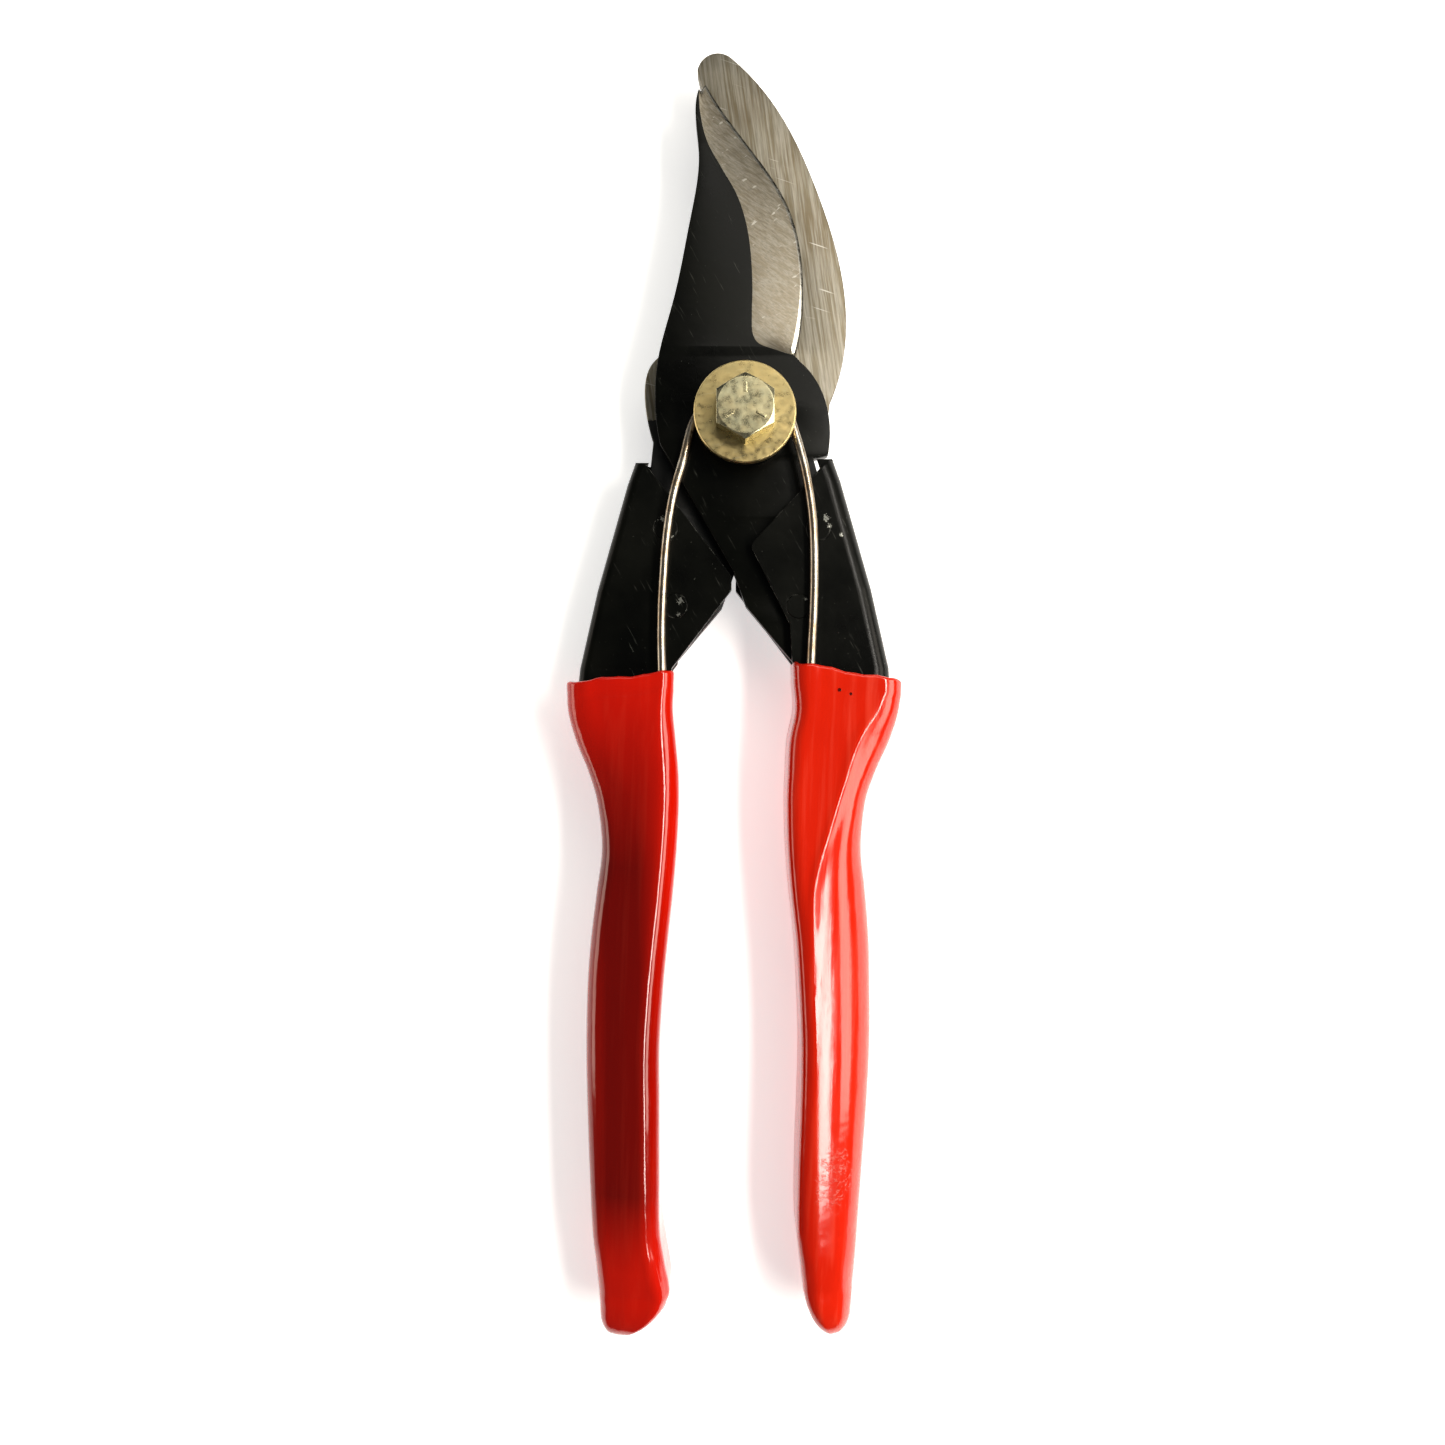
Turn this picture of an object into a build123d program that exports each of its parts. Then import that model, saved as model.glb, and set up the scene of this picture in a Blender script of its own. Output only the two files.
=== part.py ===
from build123d import *
from math import atan2, cos, degrees, hypot, pi, radians, sin, tan
import os

# Bypass pruner, all sizes in millimetres.
#
# Frame: the pivot bolt's axis is +Z, pointing out of the bolt head. The blades point along +Y,
# the handles along -Y. Z = 0 is the rear face of the pivot nut. "t" is the distance from the
# pivot towards the handle ends, so y = -t. "Inner" faces the other handle, "outer" the palm.
#
# The cutting side carries the sharp blade, and its handle is at +X.
# The counter side carries the blunt hooked blade, and its handle is at -X.
# The blades are drawn shut, with the catch let go.

# Stack along the pivot bolt, from the nut up
NUT_H = 4.4
REAR_WASHER_T = 1.2
HOOK_T = 3.5
BLADE_T = 3.0
SLIDE_GAP = 0.05          # running gap on each face of the cutting blade
WIRE_D = 1.6
COIL_TURN_GAP = 0.15      # between one turn of the coil and the next
COIL_GAP = 0.1            # between the coil and what is above and below it
FRONT_WASHER_T = 1.6
HEAD_H = 4.0

# Pivot hardware
BOLT_D = 6.0
BORE_CLEARANCE = 0.05     # radial, between the bolt and the cutting blade
HEX_FLATS = 10.0
HEX_SIDES = 6
HEX_TURN = 30.0           # points towards the blades and the handles
HEAD_CHAMFER = 0.9
HEAD_CHAMFER_ANGLE = 30.0
FRONT_WASHER_D = 18.0
REAR_WASHER_D = 14.0
SPACER_D = 12.0
WASHER_EDGE = 0.2

# Return spring: a wire coil round the spacer with two legs
COIL_R = 7.6              # radius of the wire's centre line
COUNTER_LEG_ANGLE = 33.5  # where each leg leaves the coil, above the X axis, in degrees
CUTTING_LEG_ANGLE = 17.5
COUNTER_LEG = [(-10.2, -1.6), (-13.6, -17.0), (-14.9, -35.0), (-14.7, -50.0)]
CUTTING_LEG = [(10.7, -8.6), (12.3, -19.5), (12.2, -35.0), (11.5, -50.0)]
COUNTER_LEG_BENDS = [6.0, 60.0, 90.0]
CUTTING_LEG_BENDS = [30.0, 50.0, 90.0]
LEG_FIT = 0.1             # radial, between a leg's end and its pocket in the grip

# Pressed steel handles: one pressing, turned over for the other side
SHEET = 2.0
TANG_GAP = 1.8            # from the web's inner face to the tang
MIRROR_SHIFT = 3.8        # the counter handle is the mirror of the other, moved out by this
SWING = tan(radians(1.35))  # and swung out by this much
MOUTH_T = 44.5            # where the grip begins
HANDLE_END_T = 160.0
HEEL_X = -1.5
# t, inner edge, outer edge of the steel channel on the cutting side
CHANNEL = [
    (4.0, HEEL_X, 14.9),
    (11.0, HEEL_X, 17.4),
    (30.4, HEEL_X, 22.9),
    (44.6, 9.3, 26.1),
    (52.0, 10.3, 26.7),
    (58.0, 9.3, 24.6),
    (66.0, 8.8, 21.6),
    (77.0, 9.0, 20.2),
    (88.0, 9.9, 21.3),
    (102.0, 11.0, 22.0),
    (118.0, 11.3, 21.8),
    (135.0, 10.9, 20.6),
    (148.0, 11.2, 19.6),
    (HANDLE_END_T, 12.9, 18.2),
]
DEEP_BACK = 1.6           # back and front faces of both channels where the hand holds them
DEEP_FRONT = 15.4
DEEPEN_FROM_T = -CUTTING_LEG[-1][1]   # past the ends of the spring's legs
DEEPEN_TO_T = 64.0
END_TAPER_RUN = 10.0
END_TAPER = 2.2           # each face draws in by this at the end

# flange outlines near the pivot, cutting side, as (x, t)
CHANNEL_TOP_T = 7.0
MATING_TOP = (14.2, 7.5)      # the mating flange is cut back to clear the other blade
MATING_HEEL = (HEEL_X, 27.9)
OUTER_TOP = (15.2, 7.5)       # the outer flange laps over the tang
OUTER_HEEL = (1.0, 22.8)
OUTER_WAIST = (8.1, 37.0)
OUTER_JOIN = (8.5, 43.6)      # where it meets the channel's inner edge
FLANGE_R = 1.5                # rounding of one corner of each flange

# Blades: outlines as (x, y)
BLADE_TIP = (-7.0, 61.9)
EDGE = [(1.0, 50.4), (8.2, 39.2), (10.7, 27.0), (10.4, 17.6)]
EDGE_HEEL = (9.1, 11.6)
SHOULDER = (10.2, 10.4)
HUB_RIGHT = [(13.9, 5.4), (15.4, -1.0)]
HUB_FOOT = (15.1, -6.2)
TANG_SHOULDER = (12.4, -6.8)   # steps in past the web's end
SPINE = [(-8.3, 59.4), (-8.2, 48.6), (-9.8, 36.0), (-12.8, 21.6), (-15.6, 10.8)]
HUB_LEFT = [(-16.1, 3.6), (-15.2, -4.2)]
TANG_CROTCH = (-1.9, 27.4)    # tangs as (x, t), mirrored on the counter side
TANG_WAIST = (0.3, 33.5)
TANG_INNER = (8.6, 43.4)
TANG_END = [(10.6, 45.0), (11.4, 49.0), (12.2, 56.0), (20.0, 56.0)]
TANG_FROM_T = 9.0
EDGE_LAND = 0.35              # thickness left at the cutting edge
# the ground bevel, as pairs of points: its back, and the cutting edge across from it
BEVEL = [
    ((-8.9, 58.6), (-6.4, 61.4)),
    ((-7.6, 51.6), (-1.4, 54.6)),
    ((-3.6, 43.8), (4.2, 46.4)),
    ((0.0, 34.4), (9.4, 35.8)),
    ((1.4, 24.0), (10.8, 25.0)),
    ((1.5, 15.6), (10.2, 16.0)),
    ((3.6, 13.2), (9.6, 12.0)),
]
BEVEL_OVERRUN = 0.12          # the cutter's reach past the edge, over the bevel's width

HOOK_TIP = [(-8.5, 65.0), (-5.6, 67.9), (-2.2, 67.0)]
HOOK_OUTER = [(6.2, 57.5), (13.3, 42.9), (17.7, 28.3), (18.7, 17.5), (15.7, 4.0)]
HOOK_HUB = [(13.9, -3.6), (9.6, -11.0)]
HOOK_INNER = [(-4.4, 54.6), (2.4, 43.0), (6.4, 31.0), (6.8, 21.0), (3.4, 13.6)]
HOOK_LOBE = [(-10.5, 14.4), (-16.8, 11.2), (-18.1, 4.0)]
HOOK_NECK = (-16.6, -3.2)

# Grips: dipped vinyl over the steel
VINYL_T = 1.2
LIP = 0.9                 # the mouth stands this much further out
LIP_RUN = 8.0
MOUTH_DEPTHS = {"cutting": (4.8, 17.2), "counter": (2.2, 15.0)}
ROUND_R_NECK = 4.2        # the web's palm side rolls over into a large round
ROUND_R_FULL = 10.0
ROUND_RUN = 42.0
CORNER_R = 3.0
ROLLED_SHARE = 0.72       # most of a narrow section that the large round takes
PLAIN_SHARE = 0.26        # and the other rounds
LEAST_BEND = 0.4
DOME = [(3.6, 0.76), (5.6, 0.42)]   # past the steel's end, as (distance, share of the section)
END_FLARE = 2.2           # the counter grip's inner corner flares near its end
END_FLARE_BACK = 4.0      # from the steel's end
END_FLARE_RUN = 9.0

# Rivets
RIVET_D = 4.4
RIVET_PROUD = 0.15
RIVET_CHAMFER = 0.13
RIVETS = {
    "cutting": {"upper": (13.1, -19.9), "lower": (9.6, -33.7)},
    "counter": {"upper": (-14.2, -19.2), "lower": (-12.4, -33.3)},
}

# Thumb catch on the back
CATCH_PIVOT = (-3.5, -17.0)
KEEPER = (8.5, -21.0)
KEEPER_D = 3.0
KEEPER_END_Z = 1.0
KEEPER_CHAMFER = 0.3
CATCH_THROW = 28.0        # degrees from let go to locked
CATCH_T = 1.8
CATCH_Z = 1.3
CATCH_EYE_R = 4.0
CATCH_ARM_W = 4.6
CLAW_CLEARANCE = 0.5
CLAW_OVERRUN = 3.0        # degrees that the claw's slot runs past the locked keeper
CLAW_WALL = 2.1           # steel round the keeper
THUMB_REACH = 17.0
THUMB_ANGLE = 222.0       # direction of the thumb arm when the catch is let go
THUMB_PAD_R = 4.2
THUMB_TAB_R = 3.2
THUMB_TAB_H = 0.8
CATCH_RIVET_D = 4.0
CATCH_HEAD_D = 7.0
CATCH_HEAD_H = 0.9
CATCH_FIT = 0.05
CATCH_SUNK = 0.3          # the rivet stops short of the hook's mating face

# Marks pressed into the bolt head
MARK_COUNT = 3
MARK_R = 3.1
MARK_SIZE = (1.7, 0.45)
MARK_H = 0.15

# Heights that follow from the stack
COIL_PITCH = WIRE_D + COIL_TURN_GAP
COIL_TURNS = 1 + (180 - COUNTER_LEG_ANGLE - CUTTING_LEG_ANGLE) / 360
HOOK_Z = NUT_H + REAR_WASHER_T
MATING_Z = HOOK_Z + HOOK_T
BLADE_Z = MATING_Z + SLIDE_GAP
BLADE_FRONT = BLADE_Z + BLADE_T
SPACER_Z = BLADE_FRONT + SLIDE_GAP
SPACER_H = WIRE_D + COIL_TURNS * COIL_PITCH + 2 * COIL_GAP
FRONT_WASHER_Z = SPACER_Z + SPACER_H
HEAD_Z = FRONT_WASHER_Z + FRONT_WASHER_T
COIL_Z = SPACER_Z + COIL_GAP + WIRE_D / 2
COIL_TOP_Z = COIL_Z + COIL_TURNS * COIL_PITCH
LOCKED_ANGLE = degrees(atan2(KEEPER[1] - CATCH_PIVOT[1], KEEPER[0] - CATCH_PIVOT[0]))
CORNER_CUT = 1 - 1 / 2**0.5   # from a corner to its quarter arc's middle, over the radius
FAR = 60.0                    # past the object's edge, for cuts
CUT_PAST = 1.0                # past a face, for smaller cuts
NECK = {
    "cutting": (BLADE_Z - SHEET, BLADE_FRONT + SHEET),
    "counter": (HOOK_Z - SHEET, MATING_Z + SHEET),
}


def place_x(side, t, x):
    """X of a point given for the cutting side, or of its mirror on the counter side."""
    if side == "cutting":
        return x
    return -x - MIRROR_SHIFT - max(t - MOUTH_T, 0) * SWING


def place(side, points):
    """Points given as (x, t) for the cutting side, as (x, y) on either side."""
    return [(place_x(side, t, x), -t) for x, t in points]


def share_between(value, start, end):
    """How far value is on the way from start to end, from 0 to 1."""
    return min(max((value - start) / (end - start), 0), 1)


def channel_depths(side, t):
    """Back and front faces of a steel channel at t."""
    back, front = NECK[side]
    deep = share_between(t, DEEPEN_FROM_T, DEEPEN_TO_T)
    taper = END_TAPER * share_between(t, HANDLE_END_T - END_TAPER_RUN, HANDLE_END_T)
    return (
        back + (DEEP_BACK - back) * deep + taper,
        front + (DEEP_FRONT - front) * deep - taper,
    )


def round_r(t):
    """Radius over the grip where the web rolls over on the palm side."""
    return ROUND_R_NECK + (ROUND_R_FULL - ROUND_R_NECK) * share_between(
        t, MOUTH_T, MOUTH_T + ROUND_RUN
    )


def outline_corners(near, far, back, front):
    """The four corners of a section, starting at the inner edge of the back."""
    return [(near, back), (far, back), (far, front), (near, front)]


def corner_radii(side, inner_r, outer_r, rolled_r):
    """Radii for outline_corners. The pressing rolls to the front on the cutting side only."""
    if side == "cutting":
        return [inner_r, outer_r, rolled_r, inner_r]
    return [inner_r, rolled_r, outer_r, inner_r]


def rounded_outline(corners, radii):
    """A closed four-sided outline with square corners rounded by quarter arcs."""
    ends = []
    for i, (here, r) in enumerate(zip(corners, radii)):
        ways = []
        for other in (corners[i - 1], corners[(i + 1) % len(corners)]):
            dx, dy = other[0] - here[0], other[1] - here[1]
            ways.append((dx / hypot(dx, dy), dy / hypot(dx, dy)))
        (ax, ay), (bx, by) = ways
        start = (here[0] + r * ax, here[1] + r * ay)
        finish = (here[0] + r * bx, here[1] + r * by)
        middle = (
            here[0] + r * CORNER_CUT * (ax + bx),
            here[1] + r * CORNER_CUT * (ay + by),
        )
        if r:
            ThreePointArc(start, middle, finish)
        ends.append((start, finish))
    for i, (_, finish) in enumerate(ends):
        Line(finish, ends[(i + 1) % len(ends)][0])


def section_plane(t):
    """The plane across the handles at t, with X to the right and Y up towards the front."""
    return Plane(origin=(0, -t, 0), x_dir=(1, 0, 0), z_dir=(0, -1, 0))


def channel_body(side, wall=0.0, inner_run=0.0):
    """The outside of a handle, or its pocket when wall is the sheet's thickness."""
    with BuildPart() as body:
        for t, inner, outer in CHANNEL:
            back, front = channel_depths(side, t)
            corners = outline_corners(
                place_x(side, t, inner - inner_run),
                place_x(side, t, outer - wall),
                back + wall,
                front - wall,
            )
            most = min(outer - inner, front - back)
            rolled = min(round_r(t) - VINYL_T, ROLLED_SHARE * most)
            plain = min(ROUND_R_NECK - VINYL_T, PLAIN_SHARE * most)
            radii = corner_radii(
                side, 0, max(plain - wall, LEAST_BEND), max(rolled - wall, LEAST_BEND)
            )
            with BuildSketch(section_plane(t)):
                with BuildLine():
                    rounded_outline(corners, radii)
                make_face()
        loft(ruled=True)
    return body.part


def flange_trim(side, outline, rounded, z0, z1):
    """A prism that trims one flange, with one corner of its outline rounded."""
    with BuildPart() as trim:
        with BuildSketch(Plane.XY.offset(z0)) as sketch:
            with BuildLine():
                Polyline(*place(side, outline), close=True)
            make_face()
            corner = Vector(*place(side, [rounded])[0])
            fillet(sketch.vertices().sort_by_distance(corner)[0], FLANGE_R)
        extrude(amount=z1 - z0)
    return trim.part


def through_holes(places, diameter):
    """Cut straight holes all through the part that is being made."""
    with Locations(*[(x, y, 0) for x, y in places]):
        Cylinder(diameter / 2, 2 * FAR, mode=Mode.SUBTRACT)


def handle(side):
    """A pressed steel channel, its flanges trimmed near the pivot."""
    back, front = NECK[side]
    pivot_side = [(-FAR, -FAR), (FAR, -FAR)]
    mating = [*pivot_side, (FAR, MATING_TOP[1]), MATING_TOP, MATING_HEEL, (-FAR, MATING_HEEL[1])]
    outer = [*pivot_side, (FAR, OUTER_TOP[1]), OUTER_TOP, OUTER_HEEL, OUTER_WAIST, OUTER_JOIN,
             (-FAR, OUTER_JOIN[1])]
    below, above = (mating, MATING_TOP), (outer, OUTER_HEEL)
    if side == "counter":
        below, above = above, below
    with BuildPart() as part:
        add(channel_body(side))
        add(channel_body(side, SHEET, FAR), mode=Mode.SUBTRACT)
        add(flange_trim(side, *below, -FAR, back + SHEET), mode=Mode.SUBTRACT)
        add(flange_trim(side, *above, front - SHEET, FAR), mode=Mode.SUBTRACT)
        with Locations((0, -CHANNEL_TOP_T, 0)):
            Box(2 * FAR, FAR, 2 * FAR, align=(Align.CENTER, Align.MIN, Align.CENTER),
                mode=Mode.SUBTRACT)
        through_holes(RIVETS[side].values(), RIVET_D)
        if side == "cutting":
            with Locations((*KEEPER, 0)):
                Cylinder(KEEPER_D / 2, 2 * (back + SHEET), mode=Mode.SUBTRACT)
    return part.part


def tang_outline(side):
    """A tang's edge from its crotch round its end to where it leaves the hub, as (x, y)."""
    web_inset = SHEET + TANG_GAP
    outer_edge = [(x - web_inset, t) for t, _, x in CHANNEL if TANG_FROM_T < t <= TANG_END[-1][1]]
    run = [TANG_CROTCH, TANG_WAIST, TANG_INNER, *TANG_END, *reversed(outer_edge)]
    return place(side, run)


def wire(path, radius):
    """Round wire along a path."""
    with BuildPart() as part:
        with BuildSketch(Plane(origin=path @ 0, z_dir=path % 0)):
            Circle(radius)
        sweep(path=path, transition=Transition.TRANSFORMED)
    return part.part


def leg_end(side):
    """The straight end of a spring leg, inside its grip."""
    knees, z = (CUTTING_LEG, COIL_TOP_Z) if side == "cutting" else (COUNTER_LEG, COIL_Z)
    with BuildLine() as path:
        Line(*[(x, y, z) for x, y in knees[-2:]])
    return path.line


def grip_sections(side):
    """The grip's sections from mouth to domed end, as (t, inner, outer, back, front)."""
    stations = [s for s in CHANNEL if s[0] > MOUTH_T]
    stations.insert(0, (MOUTH_T, *stations[0][1:]))
    sections = []
    for t, inner, outer in stations:
        back, front = channel_depths(side, t)
        mouth = 1 - share_between(t, MOUTH_T, DEEPEN_TO_T)
        mouth_back, mouth_front = MOUTH_DEPTHS[side]
        back += (mouth_back + VINYL_T - back) * mouth
        front += (mouth_front - VINYL_T - front) * mouth
        thick = VINYL_T + LIP * (1 - share_between(t, MOUTH_T, MOUTH_T + LIP_RUN))
        flare = 0.0
        if side == "counter":
            flare = END_FLARE * max(0, 1 - abs(t - HANDLE_END_T + END_FLARE_BACK) / END_FLARE_RUN)
        sections.append(
            (t, inner - thick - flare, outer + thick, back - VINYL_T, front + VINYL_T)
        )
    t, inner, outer, back, front = sections[-1]
    middle, middle_z = (inner + outer) / 2, (back + front) / 2
    half_width, half_depth = (outer - inner) / 2, (front - back) / 2
    for past, share in DOME:
        sections.append(
            (
                t + past,
                middle - half_width * share,
                middle + half_width * share,
                middle_z - half_depth * share,
                middle_z + half_depth * share,
            )
        )
    return sections


def grip(side):
    """Dipped vinyl round a handle: a sleeve with a rolled lip and a domed, closed end."""
    with BuildPart() as part:
        for t, inner, outer, back, front in grip_sections(side):
            most = min(outer - inner, front - back)
            small = min(CORNER_R, PLAIN_SHARE * most)
            rolled = min(round_r(t), ROLLED_SHARE * most)
            corners = outline_corners(
                place_x(side, t, inner), place_x(side, t, outer), back, front
            )
            with BuildSketch(section_plane(t)):
                with BuildLine():
                    rounded_outline(corners, corner_radii(side, small, small, rolled))
                make_face()
        loft()
        add(channel_body(side), mode=Mode.SUBTRACT)
        add(wire(leg_end(side), WIRE_D / 2 + LEG_FIT), mode=Mode.SUBTRACT)
    return part.part


def ring(outer_d, inner_d, z, height, edge=0.0):
    """A flat ring on the pivot axis, its outer corners broken by edge."""
    with BuildPart() as part:
        with BuildSketch(Plane.XY.offset(z)):
            Circle(outer_d / 2)
            Circle(inner_d / 2, mode=Mode.SUBTRACT)
        extrude(amount=height)
        if edge:
            rims = part.edges().filter_by(GeomType.CIRCLE).filter_by(
                lambda e: e.radius > (outer_d + inner_d) / 4
            )
            chamfer(rims, edge)
    return part.part


def finish_piece(part, name):
    """Label a finished piece and write it as its own file."""
    part.label = name
    export_step(part, f"parts/{name}.step")


os.makedirs("parts", exist_ok=True)

# Cutting blade
with BuildPart() as cutting_blade:
    with BuildSketch(Plane.XY.offset(BLADE_Z)):
        with BuildLine():
            Spline(BLADE_TIP, *EDGE, EDGE_HEEL)
            Line(EDGE_HEEL, SHOULDER)
            Spline(SHOULDER, *HUB_RIGHT, HUB_FOOT)
            tang = tang_outline("cutting")
            Polyline(HUB_FOOT, TANG_SHOULDER, *reversed(tang))
            Line(tang[0], HUB_LEFT[-1])
            Spline(HUB_LEFT[-1], HUB_LEFT[0], *reversed(SPINE), BLADE_TIP)
        make_face()
        Circle(BOLT_D / 2 + BORE_CLEARANCE, mode=Mode.SUBTRACT)
    extrude(amount=BLADE_T)
    for back_point, edge_point in BEVEL:
        across = Vector(*edge_point) - Vector(*back_point)
        run = across.length
        depth = BLADE_T - EDGE_LAND
        reach = run * (1 + BEVEL_OVERRUN)
        drop = depth * (1 + BEVEL_OVERRUN)
        face_plane = Plane(
            origin=(*back_point, BLADE_FRONT),
            x_dir=(across.X, across.Y, 0),
            z_dir=(across.Y, -across.X, 0),
        )
        with BuildSketch(face_plane):
            with BuildLine():
                Polyline((0, 0), (reach, -drop), (reach, CUT_PAST), (0, CUT_PAST), close=True)
            make_face()
    loft(ruled=True, mode=Mode.SUBTRACT)
    through_holes(RIVETS["cutting"].values(), RIVET_D)
finish_piece(cutting_blade.part, "cutting_blade")

# Counter blade: the blunt hook behind the cutting blade
with BuildPart() as counter_blade:
    with BuildSketch(Plane.XY.offset(HOOK_Z)):
        with BuildLine():
            ThreePointArc(*HOOK_TIP)
            Spline(HOOK_TIP[-1], *HOOK_OUTER)
            Spline(HOOK_OUTER[-1], *HOOK_HUB)
            tang = tang_outline("counter")
            Polyline(HOOK_HUB[-1], *tang, HOOK_NECK)
            Spline(HOOK_NECK, *reversed(HOOK_LOBE), HOOK_INNER[-1])
            Spline(*reversed(HOOK_INNER), HOOK_TIP[0])
        make_face()
    extrude(amount=HOOK_T)
    through_holes([(0, 0)], BOLT_D)
    through_holes([CATCH_PIVOT], CATCH_RIVET_D)
    through_holes(RIVETS["counter"].values(), RIVET_D)
finish_piece(counter_blade.part, "counter_blade")

# Handles, grips and handle rivets
for side in ("cutting", "counter"):
    finish_piece(handle(side), f"{side}_handle")
    finish_piece(grip(side), f"{side}_grip")
    neck_back, neck_front = NECK[side]
    for which, (x, y) in RIVETS[side].items():
        with BuildPart() as rivet:
            with BuildSketch(Plane(origin=(x, y, neck_back - RIVET_PROUD))):
                Circle(RIVET_D / 2)
            extrude(amount=neck_front - neck_back + 2 * RIVET_PROUD)
            chamfer(rivet.edges().filter_by(GeomType.CIRCLE), RIVET_CHAMFER)
        finish_piece(rivet.part, f"{side}_rivet_{which}")

# Pivot hardware
with BuildPart() as pivot_bolt:
    with BuildSketch(Plane.XY):
        Circle(BOLT_D / 2)
    extrude(amount=HEAD_Z)
    with BuildSketch(Plane.XY.offset(HEAD_Z)):
        RegularPolygon(HEX_FLATS / 2, HEX_SIDES, major_radius=False, rotation=HEX_TURN)
    extrude(amount=HEAD_H)
    corner_r = HEX_FLATS / 2 / cos(pi / HEX_SIDES)
    with BuildSketch(Plane.XZ):
        with BuildLine():
            top = HEAD_Z + HEAD_H
            cone_drop = (HEAD_CHAMFER + CUT_PAST) * tan(radians(HEAD_CHAMFER_ANGLE))
            Polyline(
                (corner_r - HEAD_CHAMFER, top),
                (corner_r + CUT_PAST, top),
                (corner_r + CUT_PAST, top - cone_drop),
                close=True,
            )
        make_face()
    revolve(axis=Axis.Z, mode=Mode.SUBTRACT)
    with BuildSketch(Plane.XY.offset(HEAD_Z + HEAD_H)):
        with PolarLocations(MARK_R, MARK_COUNT, start_angle=90):
            Rectangle(*MARK_SIZE)
    extrude(amount=MARK_H)
finish_piece(pivot_bolt.part, "pivot_bolt")

with BuildPart() as pivot_nut:
    with BuildSketch(Plane.XY):
        RegularPolygon(HEX_FLATS / 2, HEX_SIDES, major_radius=False, rotation=HEX_TURN)
        Circle(BOLT_D / 2, mode=Mode.SUBTRACT)
    extrude(amount=NUT_H)
finish_piece(pivot_nut.part, "pivot_nut")

finish_piece(ring(REAR_WASHER_D, BOLT_D, NUT_H, REAR_WASHER_T, WASHER_EDGE), "rear_washer")
finish_piece(ring(SPACER_D, BOLT_D, SPACER_Z, SPACER_H), "coil_spacer")
finish_piece(
    ring(FRONT_WASHER_D, BOLT_D, FRONT_WASHER_Z, FRONT_WASHER_T, WASHER_EDGE), "front_washer"
)

# Return spring
coil = Helix(
    pitch=COIL_PITCH, height=COIL_TURNS * COIL_PITCH, radius=COIL_R, lefthand=True
)
coil = coil.rotate(Axis.Z, 180 - COUNTER_LEG_ANGLE).moved(Location((0, 0, COIL_Z)))
counter_knees = [(x, y, COIL_Z) for x, y in COUNTER_LEG]
cutting_knees = [(x, y, COIL_TOP_Z) for x, y in CUTTING_LEG]
with BuildLine() as counter_leg:
    FilletPolyline(coil @ 0, *counter_knees, radius=COUNTER_LEG_BENDS)
with BuildLine() as cutting_leg:
    FilletPolyline(coil @ 1, *cutting_knees, radius=CUTTING_LEG_BENDS)
spring_path = Wire([*counter_leg.edges(), coil, *cutting_leg.edges()])
with BuildPart() as return_spring:
    add(wire(spring_path, WIRE_D / 2))
finish_piece(return_spring.part, "return_spring")

# Thumb catch
reach = hypot(KEEPER[0] - CATCH_PIVOT[0], KEEPER[1] - CATCH_PIVOT[1])
slot_w = KEEPER_D + 2 * CLAW_CLEARANCE
claw = Plane(origin=(*CATCH_PIVOT, CATCH_Z)).rotated((0, 0, LOCKED_ANGLE - CATCH_THROW))
with BuildPart() as catch_lever:
    with BuildSketch(claw):
        Circle(CATCH_EYE_R)
        Rectangle(reach, CATCH_ARM_W, align=(Align.MIN, Align.CENTER))
        with PolarLocations(reach, 1, start_angle=-CLAW_OVERRUN):
            Circle(slot_w / 2 + CLAW_WALL)
        with BuildLine():
            for r in (reach + slot_w / 2, reach - slot_w / 2):
                CenterArc((0, 0), r, -CLAW_OVERRUN, CATCH_THROW + CLAW_OVERRUN)
            for turn in (radians(-CLAW_OVERRUN), radians(CATCH_THROW)):
                near_side, far_side = reach - slot_w / 2, reach + slot_w / 2
                Line(
                    (near_side * cos(turn), near_side * sin(turn)),
                    (far_side * cos(turn), far_side * sin(turn)),
                )
        make_face(mode=Mode.SUBTRACT)
        with PolarLocations(reach, 1, start_angle=-CLAW_OVERRUN):
            Circle(slot_w / 2, mode=Mode.SUBTRACT)
    extrude(amount=CATCH_T)
    thumb = Plane(origin=(*CATCH_PIVOT, CATCH_Z)).rotated((0, 0, THUMB_ANGLE))
    with BuildSketch(thumb):
        Rectangle(THUMB_REACH, CATCH_ARM_W, align=(Align.MIN, Align.CENTER))
        with Locations((THUMB_REACH, 0)):
            Circle(THUMB_PAD_R)
    extrude(amount=CATCH_T)
    with BuildSketch(thumb):
        with Locations((THUMB_REACH, 0)):
            Circle(THUMB_TAB_R)
    extrude(amount=-THUMB_TAB_H)
    through_holes([CATCH_PIVOT], CATCH_RIVET_D + 2 * CATCH_FIT)
finish_piece(catch_lever.part, "catch_lever")

with BuildPart() as catch_rivet:
    with BuildSketch(Plane(origin=(*CATCH_PIVOT, CATCH_Z - CATCH_FIT - CATCH_HEAD_H))):
        Circle(CATCH_HEAD_D / 2)
    extrude(amount=CATCH_HEAD_H)
    with BuildSketch(Plane(origin=(*CATCH_PIVOT, CATCH_Z - CATCH_FIT))):
        Circle(CATCH_RIVET_D / 2)
    extrude(amount=MATING_Z - CATCH_SUNK - CATCH_Z + CATCH_FIT)
finish_piece(catch_rivet.part, "catch_rivet")

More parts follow.
